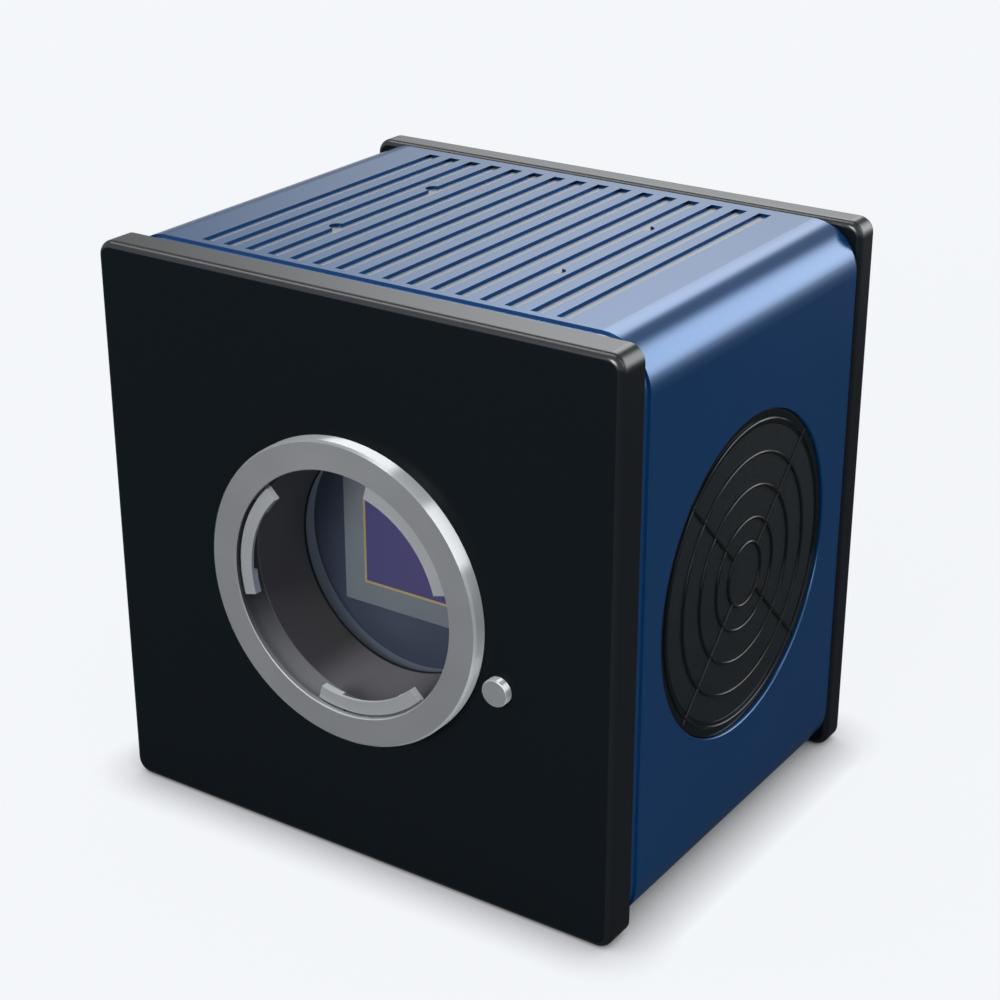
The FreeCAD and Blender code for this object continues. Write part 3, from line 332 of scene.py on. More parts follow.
class Plan(Tree):
    """A Geometry Nodes tree with named sizes that grows into a plain mesh."""

    def __init__(self, name: str, **sizes: float | int) -> None:
        """Makes the group and an input for each size."""
        group = bpy.data.node_groups.new(name, "GeometryNodeTree")
        super().__init__(group)
        self.name = name
        self.numbers: dict[str, float | int] = {}
        for word, number in sizes.items():
            kind = "NodeSocketInt" if isinstance(number, int) else "NodeSocketFloat"
            socket = group.interface.new_socket(word, in_out="INPUT", socket_type=kind)
            self.numbers[socket.identifier] = number
        group.interface.new_socket("Geometry", in_out="OUTPUT", socket_type="NodeSocketGeometry")
        self.source = self.add("NodeGroupInput").socket.node

    def __getitem__(self, word: str) -> Wire:
        """The input of that name."""
        return Wire(self, self.source.outputs[word])

    def circle(self, radius: Wire | float, sides: int) -> Wire:
        """A round curve, or a polygon where it has few sides."""
        return self.add("GeometryNodeCurvePrimitiveCircle", {"mode": "RADIUS"},
                        {"Resolution": sides, "Radius": radius})

    def helix(self, radius: Wire, climb: Wire, turns: Wire, steps: int) -> Wire:
        """A helix about Z.

        Args:
            radius: Its radius.
            climb: How far it climbs.
            turns: How often it goes round.
            steps: How many steps a turn has.

        Returns:
            The curve.
        """
        return self.add("GeometryNodeCurveSpiral", inputs={
            "Resolution": steps, "Rotations": turns, "Start Radius": radius,
            "End Radius": radius, "Height": climb})

    def scatter(self, count: Wire, shape: Wire, spot: Wire | Triple = NOWHERE,
                **placing: Wire) -> Wire:
        """Copies of a shape.

        Args:
            count: How many.
            shape: What is copied.
            spot: Where they go.
            placing: Rotation and Scale of the copies.

        Returns:
            The copies, made real.
        """
        spots = self.add("GeometryNodePoints", inputs={"Count": count, "Position": spot})
        copies = self.add("GeometryNodeInstanceOnPoints",
                          inputs={"Points": spots, "Instance": shape, **placing})
        return self.add("GeometryNodeRealizeInstances", inputs={0: copies})

    def sweep(self, path: Wire, profile: Wire, caps: bool = False) -> Wire:
        """A profile drawn along a path."""
        return self.add("GeometryNodeCurveToMesh",
                        inputs={"Curve": path, "Profile Curve": profile, "Fill Caps": caps})

    def move(self, shape: Wire, spot: Wire | Triple = NOWHERE, turn: Triple = NOWHERE) -> Wire:
        """A shape turned and then moved."""
        return self.add("GeometryNodeTransform",
                        inputs={"Geometry": shape, "Translation": spot, "Rotation": turn})

    def join(self, *shapes: Wire) -> Wire:
        """Several shapes as one."""
        joined = self.add("GeometryNodeJoinGeometry")
        for shape in shapes:
            self.tree.links.new(shape.socket, joined.socket.node.inputs[0])
        return joined

    def grow(self, shape: Wire, material: bpy.types.Material,
             crease: float = 35.0) -> bpy.types.Object:
        """Ends the tree and turns its result into a plain mesh.

        Args:
            shape: What the tree makes.
            material: The finish of it.
            crease: The angle, in degrees, past which an edge stays sharp.

        Returns:
            The finished object, without a modifier.
        """
        real = self.add("GeometryNodeRealizeInstances", inputs={0: shape})
        dressed = self.add("GeometryNodeSetMaterial", inputs={0: real, "Material": material})
        self.add("NodeGroupOutput", inputs={0: dressed})
        holder = bpy.data.objects.new(self.name, bpy.data.meshes.new(self.name))
        bpy.context.scene.collection.objects.link(holder)
        modifier = holder.modifiers.new(self.name, "NODES")
        modifier.node_group = self.tree
        for identifier, number in self.numbers.items():
            modifier[identifier] = number
        view = bpy.context.evaluated_depsgraph_get()
        mesh = bpy.data.meshes.new_from_object(holder.evaluated_get(view))
        holder.modifiers.clear()
        holder.data = mesh
        self._close(mesh, crease)
        return holder

    @staticmethod
    def _close(mesh: bpy.types.Mesh, crease: float) -> None:
        """Merges doubles, turns faces outwards and shades smooth between creases."""
        work = bmesh.new()
        work.from_mesh(mesh)
        bmesh.ops.remove_doubles(work, verts=work.verts, dist=MERGE)
        bmesh.ops.recalc_face_normals(work, faces=work.faces)
        for face in work.faces:
            face.smooth = True
        work.to_mesh(mesh)
        work.free()
        mesh.set_sharp_from_angle(angle=math.radians(crease))


@dataclass
class Look:
    """The values of a surface while its finish is put together."""

    colour: Wire
    roughness: Wire
    metallic: Wire | float = 0.0
    normal: Wire | None = None


@dataclass(frozen=True)
class Finish:
    """A surface finish that becomes a material."""

    name: str
    colour: Colour

    def shade(self, factor: float) -> Colour:
        """The colour made lighter or darker."""
        return tuple(min(1.0, channel * factor) for channel in self.colour)

    def vary(self, recipe: Recipe, look: Look) -> Look:
        """Lets a finish differ from place to place; a plain one doesn't."""
        return look

    def material(self) -> bpy.types.Material:
        """The finish as a material."""
        raise NotImplementedError


@dataclass(frozen=True)
class Coat(Finish):
    """A satin coat on metal: anodised or painted, with a fine blasted grain."""

    roughness: float = 0.4
    spread: float = 0.05
    drift: float = 0.06
    clouds: float = 28.0
    grain: float = 2600.0
    depth: float = 0.004 * MM
    ior: float = 1.5
    sheen: Colour = (1.0, 1.0, 1.0)

    def material(self) -> bpy.types.Material:
        """A base colour that drifts a little, uneven gloss and a blasted grain."""
        recipe = Recipe.named(self.name)
        slow = recipe.noise(self.clouds, CLOUDY)
        fine = recipe.noise(self.grain)
        look = self.vary(recipe, Look(
            recipe.mix(slow, self.shade(1.0 - self.drift), self.shade(1.0 + self.drift)),
            slow * self.spread + fine * self.spread + (self.roughness - self.spread)))
        coat = recipe.shader(
            Base_Color=look.colour,
            Metallic=look.metallic,
            Roughness=look.roughness,
            Normal=recipe.bump(fine, self.depth),
            IOR=self.ior,
            Specular_Tint=self.sheen)
        return recipe.end(self.overlay(recipe, coat))

    def overlay(self, recipe: Recipe, coat: Wire) -> Wire:
        """Mixes another surface into the coat; a plain coat has none."""
        return coat


@dataclass(frozen=True)
class PlateCoat(Coat):
    """The plates' coat: blasted matt on the broad faces, glossy on the edges."""

    matt: Colour = (0.0036, 0.0053, 0.0068)
    share: float = 0.85
    broad: Span = (0.96, 0.995)

    def overlay(self, recipe: Recipe, coat: Wire) -> Wire:
        """Tells the broad faces by how they face."""
        face = recipe.step(abs(recipe.facing()[1]), *self.broad) * self.share
        dull = recipe.shader(Base_Color=self.matt, Roughness=1.0, Specular_IOR_Level=0.0)
        return recipe.blend(face, coat, dull)


@dataclass(frozen=True)
class SlottedCoat(Coat):
    """The sleeve's coat, thin and metallic on the cut walls of the slots and holes in its top,
    painted lighter there against the shade in them.
    """

    slots_wide: float = 42.0 * MM
    slots_long: float = 36.0 * MM
    slots_floor: float = 106.6 * MM
    upright: float = 0.5
    # Painted light: the cut walls are painted this much lighter, against the shade in the slots.
    wall: float = 1.5
    bare: float = 0.85

    def vary(self, recipe: Recipe, look: Look) -> Look:
        """Tells the cut walls apart by where they are and how they face."""
        across, along, up = recipe.parts(recipe.place())
        within = (abs(across) < self.slots_wide) * (abs(along) < self.slots_long)
        near = within * (up > self.slots_floor)
        cut = near * (recipe.facing()[2] < self.upright)
        # Painted light: lighter colour on the cut walls, making up for the shade in the slots.
        colour = recipe.mix(cut, look.colour, self.shade(self.wall))
        return Look(colour, look.roughness, cut * self.bare)


@dataclass(frozen=True)
class PocketCoat(Coat):
    """The carrier's coat, painted lighter on the wall of its pocket than on the floor, against the
    shade there.
    """

    # Painted light: the pocket wall's colour, lighter to make up for the shade in the pocket.
    wall: Colour = (0.210, 0.250, 0.320)
    upright: Span = (-0.8, -0.5)

    def vary(self, recipe: Recipe, look: Look) -> Look:
        """Tells the wall from the floor by how it faces."""
        wall = recipe.step(recipe.facing()[1], *self.upright)
        # Painted light: the pocket wall is painted lighter than the floor.
        return Look(recipe.mix(wall, look.colour, self.wall), look.roughness)


class Lay(Enum):
    """How the cutter's marks run on a machined metal, with their fineness per metre."""

    TURNED = 9000.0
    ALONG = 1500.0
    BLASTED = 3200.0


@dataclass(frozen=True)
class Metal(Finish):
    """Bare or plated metal with the marks of how it was cut."""

    roughness: float = 0.3
    spread: float = 0.08
    clouds: float = 60.0
    dull: float = 0.93
    lay: Lay = Lay.BLASTED
    drawn: float = 0.03
    axis: Pair = (0.0, AXIS)
    marks: float = 0.0016 * MM
    metallic: float = 1.0

    def radius(self, recipe: Recipe) -> Wire:
        """How far a spot lies from the axis that the metal was turned about."""
        across, _, up = recipe.parts(recipe.place())
        return (across - self.axis[0]).reach(up - self.axis[1])

    def cut(self, recipe: Recipe) -> Wire:
        """The cutter's marks as a noise: round the axis, along it or without a direction."""
        if self.lay is Lay.TURNED:
            return recipe.add(
                "ShaderNodeTexNoise", {"noise_dimensions": "1D"},
                {"W": self.radius(recipe), "Scale": self.lay.value, "Detail": GRAINY})
        stretch = (1.0, self.drawn, 1.0) if self.lay is Lay.ALONG else EVEN
        return recipe.noise(self.lay.value, stretch=stretch)

    def material(self) -> bpy.types.Material:
        """A metal whose gloss and relief follow the cutter's marks."""
        recipe = Recipe.named(self.name)
        drift = recipe.noise(self.clouds, CLOUDY)
        cut = self.cut(recipe)
        look = self.vary(recipe, Look(
            recipe.mix(drift, self.shade(self.dull), self.colour),
            cut * self.spread + drift * self.spread + (self.roughness - self.spread),
            self.metallic))
        return recipe.surface(
            Base_Color=look.colour,
            Metallic=look.metallic,
            Roughness=look.roughness,
            Normal=recipe.bump(cut, self.marks, look.normal))


@dataclass(frozen=True)
class MountMetal(Metal):
    """The mount's metal: blasted on its face, bright on sides and tabs, dark in the bore.

    The bore's upward-facing bottom is painted lighter as painted light, and the tabs are painted
    lighter to make up for the shade in the bore. The outer sides lean forwards in what they
    mirror, past the plate that they stand on, and are painted lighter low down as a painted
    reflection.
    """

    bore: float = 24.8 * MM
    tabs: float = 23.2 * MM
    side: float = 0.66
    # Painted reflection: the outer sides' colour low down, lighter than above.
    side_low_light: float = 1.10
    side_metallic: float = 0.25
    side_lean: float = 0.45
    top_lean: float = 0.2
    side_polish: float = 0.26
    inside: float = 0.06
    # Painted light: the colour of the bore's upward-facing bottom, lighter than the dark bore.
    lit_bore: float = 0.55
    # Painted light: the tabs are painted this much lighter, making up for the shade of the bore.
    tab: float = 1.35
    outer_turn: Span = (-0.95, -0.80)
    inner_turn: Span = (-0.85, -0.55)
    ledge_turn: Span = (0.3, 0.8)
    top_turn: Span = (0.85, 1.05)
    low_light_turn: Span = (0.1, -0.25)
    lit_bore_turn: Span = (0.2, 1.0)

    def vary(self, recipe: Recipe, look: Look) -> Look:
        """Tells face, sides, bore and tabs apart by how they face and how far out they lie."""
        radius = self.radius(recipe)
        right, ahead, above = recipe.facing()
        outer = recipe.step(ahead, *self.outer_turn) * (radius > self.bore)
        tab = radius < self.tabs
        ledge = tab * recipe.step(above, *self.ledge_turn)
        inner = recipe.step(ahead, *self.inner_turn) * (radius < self.bore) * (1.0 - tab)
        bend = recipe.step(above, *self.top_turn) * self.top_lean + self.side_lean
        lean = ahead - outer * (right.reach(above) * bend + ahead)
        normal = recipe.add("ShaderNodeVectorMath", {"operation": "NORMALIZE"},
                            {0: recipe.vector(right, lean, above)})
        # Painted reflection: the outer sides are painted lighter where they face downwards.
        low = recipe.step(above, *self.low_light_turn)
        # Painted light: the bore's upward-facing bottom is painted lighter than the dark bore.
        lit_bottom = recipe.step(above, *self.lit_bore_turn)
        sides = recipe.mix(low, self.shade(self.side), self.shade(self.side_low_light))
        bore = recipe.mix(lit_bottom, self.shade(self.inside), self.shade(self.lit_bore))
        # Painted light: the tabs are painted lighter, making up for the shade they sit in.
        colour = recipe.mix(tab, look.colour, self.shade(self.tab))
        colour = recipe.mix(outer, colour, sides)
        return Look(
            recipe.mix(inner, colour, bore),
            look.roughness - outer * self.side_polish,
            self.metallic - (outer + inner + ledge) * (self.metallic - self.side_metallic),
            normal)


@dataclass(frozen=True)
class TubeMetal(Metal):
    """The throat's blackened metal, with a painted highlight on its front edge and painted light
    below.
    """

    front: float = -40.75 * MM
    # Painted highlight: the width of the lighter band at the front edge, and how much lighter it
    # is.
    edge: float = 0.3 * MM
    edge_highlight: float = 2.6
    # Painted light: the upward-facing bottom is painted this much lighter.
    bottom_light: float = 3.0
    bottom_light_turn: Span = (0.82, 1.0)

    def vary(self, recipe: Recipe, look: Look) -> Look:
        """Tells the edge by how far back it lies and the bottom by how it faces."""
        along = recipe.parts(recipe.place())[1]
        # Painted highlight: a thin band at the front edge is painted lighter.
        edge = recipe.step(along, self.front + self.edge, self.front)
        # Painted light: the upward-facing bottom of the tube is painted lighter.
        lit_bottom = recipe.step(recipe.facing()[2], *self.bottom_light_turn)
        colour = recipe.mix(lit_bottom, look.colour, self.shade(self.bottom_light))
        colour = recipe.mix(edge, colour, self.shade(self.edge_highlight))
        return Look(colour, look.roughness, look.metallic)


@dataclass(frozen=True)
class Plastic(Finish):
    """Moulded plastic, ceramic or rubber with a fine spark texture."""

    roughness: float = 0.5
    spread: float = 0.12
    clouds: float = 45.0
    tones: Span = (0.9, 1.05)
    grain: float = 1800.0
    depth: float = 0.01 * MM
    specular: float = 0.5

    def material(self) -> bpy.types.Material:
        """A dull surface with a moulded grain."""
        recipe = Recipe.named(self.name)
        fine = recipe.noise(self.grain, CLOUDY)
        drift = recipe.noise(self.clouds)
        return recipe.surface(
            Base_Color=recipe.mix(drift, *map(self.shade, self.tones)),
            Roughness=fine * self.spread + (self.roughness - self.spread / 2),
            Normal=recipe.bump(fine, self.depth),
            Specular_IOR_Level=self.specular)


@dataclass(frozen=True)
class Foam(Finish):
    """The close-celled filter behind a guard."""

    cells: float = 1500.0
    tones: Span = (0.8, 1.1)
    roughness: float = 0.45
    spread: float = 0.15
    depth: float = 0.01 * MM
    specular: float = 0.25

    def material(self) -> bpy.types.Material:
        """Small dark cells with lighter walls."""
        recipe = Recipe.named(self.name)
        cell = recipe.add("ShaderNodeTexVoronoi", {"feature": "F1"},
                          {"Vector": recipe.place(), "Scale": self.cells})
        return recipe.surface(
            Base_Color=recipe.mix(cell, *map(self.shade, self.tones)),
            Roughness=cell * self.spread + self.roughness,
            Normal=recipe.bump(1.0 - cell, self.depth),
            Specular_IOR_Level=self.specular)


@dataclass(frozen=True)
class Board(Finish):
    """A circuit board: solder mask over faint tracks."""

    tracks: float = 240.0
    track_wide: float = 0.03
    offset: float = 0.3
    pale: float = 1.6
    roughness: float = 0.3
    spread: float = 0.1
    depth: float = 0.02 * MM

    def material(self) -> bpy.types.Material:
        """Tracks show as slightly lighter lines under the mask."""
        recipe = Recipe.named(self.name)
        inputs = {"Vector": recipe.place(), "Scale": self.tracks, "Mortar Size": self.track_wide}
        track = recipe.add("ShaderNodeTexBrick", {"offset": self.offset}, inputs, output="Fac")
        return recipe.surface(
            Base_Color=recipe.mix(track, self.colour, self.shade(self.pale)),
            Roughness=track * self.spread + self.roughness,
            Normal=recipe.bump(track, self.depth))


@dataclass(frozen=True)
class CoatedGlass(Finish):
    """The sensor's window with its purple coating over the die's columns."""

    columns: float = 2600.0
    drawn: float = 0.01
    column_share: float = 0.3
    column_tone: float = 0.8
    lean_across: float = 30.0
    lean_up: float = 12.0
    lean_middle: float = 0.5
    warmth: Triple = (1.12, 0.97, 0.92)
    smears: float = 200.0
    roughness: float = 0.22
    spread: float = 0.06
    specular: float = 0.12

    def material(self) -> bpy.types.Material:
        """A dark window, redder towards one side, with the die's fine columns under it."""
        recipe = Recipe.named(self.name)
        across, _, up = recipe.parts(recipe.place())
        lean = across * self.lean_across + (up - AXIS) * self.lean_up + self.lean_middle
        warm = tuple(channel * factor for channel, factor in zip(self.colour, self.warmth))
        column = recipe.noise(self.columns, PLAIN, (1.0, 1.0, self.drawn))
        tone = recipe.mix(lean.clamp(), self.colour, warm)
        return recipe.surface(
            Base_Color=recipe.mix(column * self.column_share, tone, self.shade(self.column_tone)),
            Roughness=recipe.noise(self.smears) * self.spread + self.roughness,
            Specular_IOR_Level=self.specular)


FINISHES: tuple[Finish, ...] = (
    PlateCoat("black_anodised", (0.0060, 0.0085, 0.0110), roughness=0.25, ior=1.58),
    SlottedCoat("blue_anodised", (0.0034, 0.0372, 0.1190), roughness=0.19, ior=2.25,
                sheen=(0.37, 0.59, 1.0)),
    Metal("bare_aluminium", (0.29, 0.30, 0.31), roughness=0.50, lay=Lay.ALONG),
    MountMetal("mount_metal", (0.66, 0.68, 0.70), roughness=0.40, lay=Lay.TURNED, metallic=0.9),
    TubeMetal("baffle_black", (0.069, 0.068, 0.073), roughness=0.36, lay=Lay.TURNED, metallic=0.2),
    Plastic("seal_rubber", (0.004, 0.004, 0.005), roughness=0.7),
    PocketCoat("carrier_navy", (0.027, 0.037, 0.064), roughness=0.5),
    Plastic("package_grey", (0.108, 0.124, 0.143), roughness=0.6, specular=0.3),
    Metal("seal_gold", (0.50, 0.38, 0.20), roughness=0.45, lay=Lay.ALONG, metallic=0.6),
    CoatedGlass("window_purple", (0.052, 0.049, 0.132)),
    Plastic("silicon", (0.05, 0.045, 0.10), roughness=0.2),
    Board("board_green", (0.015, 0.07, 0.04)),
    Plastic("black_plastic", (0.014, 0.014, 0.015), roughness=0.5),
    Metal("steel", (0.46, 0.46, 0.47), roughness=0.32),
    Coat("guard_black", (0.0062, 0.0085, 0.0100), roughness=0.15, ior=1.36),
    Foam("filter_black", (0.0075, 0.0110, 0.0130)),
    Metal("contact_brass", (0.70, 0.52, 0.22), roughness=0.3),
    Plastic("lamp_clear", (0.35, 0.55, 0.42), roughness=0.2),
)


@dataclass
class Shelf:
    """The materials, made on first use."""

    made: dict[str, bpy.types.Material] = field(default_factory=dict)

    def get(self, name: str) -> bpy.types.Material:
        """The material of a finish by its name."""
        if name not in self.made:
            finish = next(finish for finish in FINISHES if finish.name == name)
            self.made[name] = finish.material()
        return self.made[name]


@dataclass
class SubAssembly:
    """A group of solids that belong together, and the pieces that refine them."""

    frame: dict
    shelf: Shelf
    nodes: ClassVar[tuple[str, ...]] = ()

    def dress(self) -> None:
        """Gives each solid the finish of its slot in the record."""
        entries = self.frame["record"]["subparts"]
        slots = {entry["node"]: entry["material_slot"] for entry in entries}
        for node in self.nodes:
            mesh = self.frame["nodes"][node].data
            mesh.materials.clear()
            mesh.materials.append(self.shelf.get(slots[node]))
            log.info("dressed %s in %s", node, slots[node])

    def refine(self) -> None:
        """Adds fine pieces; a plain group has none."""

    def build(self) -> None:
        """Dresses the solids and adds the fine pieces."""
        self.dress()
        self.refine()

    def settle(self, piece: bpy.types.Object, slot: str, *stands_for: str,
               body: str = "camera") -> None:
        """Hands a finished piece to the frame.

        Args:
            piece: The finished piece.
            slot: The record's slot that its finish comes from; not used.
            stands_for: The solids that it replaces, if any.
            body: The body that carries it.
        """
        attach(piece, body)
        if stands_for:
            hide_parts(*stands_for)
        log.info("built %s with %d faces", piece.name, len(piece.data.polygons))


class FrontPlate(SubAssembly):
    """The black plate that carries the lens mount."""

    nodes = ("front_plate",)


class LensMount(SubAssembly):
    """The bayonet ring with its tabs, and the dark throat behind it."""

    nodes = ("lens_mount_ring", "mount_ring_screws", "bayonet_tabs", "throat_tube", "tube_screws",
             "throat_gasket")


@dataclass
class SprungButton(SubAssembly):
    """A button on a coil spring, between a seat that stays and one on the button."""

    spring: str = ""
    joint: str = ""
    across: float = 0.0
    up: float = 0.0
    seat: float = 0.0
    button: float = 0.0
    coil: float = 0.0
    wire: float = 0.0
    turns: float = 0.0
    travel: float = 0.0
    turn_steps: int = 36
    wire_sides: int = 12

    def refine(self) -> None:
        """Grows the spring along its helix."""
        length = abs(self.button - self.seat)
        plan = Plan(self.spring + "_wire", Coil=self.coil, Wire=self.wire, Turns=self.turns,
                    Climb=length - 2 * self.wire, Across=self.across, Up=self.up,
                    Front=min(self.button, self.seat))
        helix = plan.helix(plan["Coil"], plan["Climb"], plan["Turns"], self.turn_steps)
        wire = plan.sweep(helix, plan.circle(plan["Wire"], self.wire_sides), caps=True)
        spot = plan.vector(plan["Across"], plan["Front"] + plan["Wire"], plan["Up"])
        wire = plan.move(wire, spot, (-QUARTER, 0.0, 0.0))
        piece = plan.grow(wire, self.shelf.get("steel"))
        self.settle(piece, "steel", self.spring)
        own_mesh(piece)


@dataclass
class ReleaseButton(SprungButton):
    """The lens release with its spring and plug."""

    nodes = ("release_button", "release_spring", "button_plug")
    spring: str = "release_spring"
    joint: str = "release_press"
    across: float = 31.9 * MM
    up: float = 44.9 * MM
    seat: float = -39.1 * MM
    button: float = -42.2 * MM
    coil: float = 2.4 * MM
    wire: float = 0.2 * MM
    turns: float = 3.0
    travel: float = 1.2 * MM


class SensorBlock(SubAssembly):
    """The sensor on its carrier, with the board behind it."""

    nodes = ("sensor_carrier", "carrier_posts", "sensor_package", "seal_frame", "sensor_window",
             "sensor_die", "sensor_board", "board_spacers", "board_connectors")


class Electronics(SubAssembly):
    """The boards and what holds them apart."""

    nodes = ("board_standoffs", "main_board", "processor", "heat_bridge", "riser_board",
             "socket_board", "socket_standoffs", "board_screws")


class Housing(SubAssembly):
    """The blue sleeve, the heat spreader in its slots and the rods inside."""

    nodes = ("housing_sleeve", "heat_spreader", "tie_rods")


class Fan(SubAssembly):
    """The fan behind the right-hand vent."""

    nodes = ("fan_frame", "fan_rotor", "fan_screws")


class Side(Enum):
    """Which side of the housing a vent is in, as the sign of its direction."""

    RIGHT = 1.0
    LEFT = -1.0


@dataclass
class Vent(SubAssembly):
    """A round vent: a guard of wire rings and crossed spokes in a rim, over a filter."""

    side: Side = Side.RIGHT
    guard: str = "fan_guard"
    pad: str = "fan_filter"
    face: float = 55.2 * MM
    axis: float = AXIS
    outer_ring: float = 28.5 * MM
    ring_pitch: float = 6.0 * MM
    hub_ring: float = 6.0 * MM
    rings: int = 5
    ring_steps: int = 112
    wire: float = 0.3 * MM
    wire_sides: int = 10
    wire_sink: float = 0.56 * MM
    spokes: int = 4
    spoke_reach: float = 29.8 * MM
    rim_inner: float = 27.58 * MM
    rim_outer: float = 30.43 * MM
    rim_top: float = 0.65 * MM
    rim_deep: float = 0.94 * MM
    rim_round: float = 0.18 * MM
    rim_steps: int = 144
    round_steps: int = 3

    def dress(self) -> None:
        """Gives guard and filter their finishes; a guard of wires then replaces the first."""
        self.nodes = (self.guard, self.pad)
        super().dress()

    def refine(self) -> None:
        """Grows the guard from its rings, spokes and rim."""
        plan = Plan(self.guard + "_wires", Outer_Ring=self.outer_ring, Ring_Pitch=self.ring_pitch,
                    Hub_Ring=self.hub_ring, Rings=self.rings, Wire=self.wire,
                    Wire_Sink=self.wire_sink, Spokes=self.spokes, Spoke_Reach=self.spoke_reach,
                    Rim_Top=self.rim_top, Rim_Middle=(self.rim_inner + self.rim_outer) / 2,
                    Rim_Wide=self.rim_outer - self.rim_inner, Rim_Deep=self.rim_deep,
                    Rim_Round=self.rim_round, Face=self.side.value * self.face, Axis=self.axis)
        whole = plan.join(
            plan.move(self._wires(plan), plan.vector(z=0.0 - plan["Wire_Sink"])),
            plan.move(self._rim(plan), plan.vector(z=0.0 - plan["Rim_Top"] - plan["Rim_Deep"] / 2)))
        whole = plan.move(whole, plan.vector(plan["Face"], z=plan["Axis"]),
                          (0.0, self.side.value * QUARTER, 0.0))
        piece = plan.grow(whole, self.shelf.get("guard_black"))
        self.settle(piece, "guard_black", self.guard)

    def _wires(self, plan: Plan) -> Wire:
        """The rings and the spokes, which start at the smallest ring."""
        index = plan.add("GeometryNodeInputIndex")
        radius = (plan["Outer_Ring"] - index * plan["Ring_Pitch"]).most(plan["Hub_Ring"])
        round_wire = plan.circle(plan["Wire"], self.wire_sides)
        rings = plan.scatter(plan["Rings"], plan.circle(1.0, self.ring_steps),
                             Scale=plan.vector(radius, radius, radius))
        ends = {"Start": plan.vector(plan["Hub_Ring"]), "End": plan.vector(plan["Spoke_Reach"])}
        spoke = plan.add("GeometryNodeCurvePrimitiveLine", inputs=ends)
        turn = plan.vector(z=(index + 0.5) * (math.tau / plan["Spokes"]))
        spokes = plan.scatter(plan["Spokes"], spoke, Rotation=turn)
        return plan.join(plan.sweep(rings, round_wire), plan.sweep(spokes, round_wire, caps=True))

    def _rim(self, plan: Plan) -> Wire:
        """The rim: a rounded section swept round."""
        section = plan.add("GeometryNodeCurvePrimitiveQuadrilateral",
                           inputs={"Width": plan["Rim_Wide"], "Height": plan["Rim_Deep"]})
        rounded = {"Curve": section, "Count": self.round_steps, "Radius": plan["Rim_Round"]}
        section = plan.add("GeometryNodeFilletCurve", {"mode": "POLY"}, rounded)
        return plan.sweep(plan.circle(plan["Rim_Middle"], self.rim_steps), section)


@dataclass
class TripodMount(SubAssembly):
    """The bush in the floor and the thread in its bore."""

    nodes = ("tripod_insert",)
    core: float = 2.6 * MM
    ridge: float = 0.26 * MM
    pitch: float = 1.27 * MM
    start: float = 0.4 * MM
    length: float = 7.0 * MM
    turn_steps: int = 28
    ridge_sides: int = 3

    def refine(self) -> None:
        """Grows the thread as a ridge along a helix."""
        plan = Plan("tripod_thread", Core=self.core, Ridge=self.ridge,
                    Turns=self.length / self.pitch, Length=self.length, Start=self.start)
        helix = plan.helix(plan["Core"], plan["Length"], plan["Turns"], self.turn_steps)
        thread = plan.sweep(helix, plan.circle(plan["Ridge"], self.ridge_sides), caps=True)
        thread = plan.move(thread, plan.vector(z=plan["Start"]))
        self.settle(plan.grow(thread, self.shelf.get("steel")), "steel")


@dataclass
class BackPanel(SubAssembly):
    """The back plate with its sockets, light and screws."""

    nodes = ("back_plate", "back_screws", "power_socket", "power_pins", "trigger_sockets",
             "trigger_pins", "network_socket", "network_contacts", "status_light")
    screws: int = 4
    screw_at: float = 45.0 * MM
    axis: float = AXIS
    face: float = 44.95 * MM
    bore: float = 1.6 * MM
    bore_steps: int = 32
    key: float = 1.44 * MM
    key_sides: int = 6
    deep: float = 1.9 * MM

    def refine(self) -> None:
        """Grows the six-sided key sockets into the screws' bores."""
        plan = Plan("key_sockets", Screws=self.screws, Screw_At=self.screw_at * math.sqrt(2),
                    Bore=self.bore, Key=self.key, Deep=self.deep, Face=self.face, Axis=self.axis)
        angle = (plan.add("GeometryNodeInputIndex") + 0.5) * QUARTER
        across = plan.add("ShaderNodeMath", {"operation": "COSINE"}, {0: angle}) * plan["Screw_At"]
        up = plan.add("ShaderNodeMath", {"operation": "SINE"}, {0: angle}) * plan["Screw_At"]
        outline = plan.join(plan.circle(plan["Bore"], self.bore_steps),
                            plan.circle(plan["Key"], self.key_sides))
        ring = plan.add("GeometryNodeFillCurve", {"mode": "TRIANGLES"}, {"Curve": outline})
        wall = plan.add("GeometryNodeExtrudeMesh", {"mode": "FACES"},
                        {"Mesh": ring, "Offset Scale": plan["Deep"], "Individual": False})
        socket = plan.move(plan.join(ring, wall), turn=(QUARTER, 0.0, 0.0))
        spot = plan.vector(across, plan["Face"], up + plan["Axis"])
        sockets = plan.scatter(plan["Screws"], socket, spot)
        self.settle(plan.grow(sockets, self.shelf.get("steel")), "steel")


@dataclass
class PowerButton(SprungButton):
    """The power button with its spring and switch."""

    nodes = ("power_button", "switch_body", "power_spring")
    spring: str = "power_spring"
    joint: str = "power_press"
    across: float = -26.0 * MM
    up: float = 61.0 * MM
    seat: float = 28.6 * MM
    button: float = 37.8 * MM
    coil: float = 3.6 * MM
    wire: float = 0.3 * MM
    turns: float = 4.0
    travel: float = 1.0 * MM


@dataclass(frozen=True)
class Panel:
    """A soft-edged light that only reflections see.

    Attributes:
        wide: The soft steps that bound it across.
        tall: The soft steps that bound it the other way.
        power: Its strength.
    """

    wide: tuple[Span, ...]
    tall: tuple[Span, ...]
    power: float

    def light(self, recipe: Recipe, across: Wire, up: Wire) -> Wire:
        """Its light in a direction.

        Args:
            recipe: The world's tree.
            across: Where the direction lies across.
            up: Where it lies the other way.

        Returns:
            The light, 0 outside the panel.
        """
        steps = [recipe.step(across, *span) for span in self.wide]
        steps += [recipe.step(up, *span) for span in self.tall]
        return math.prod(steps, start=self.power)


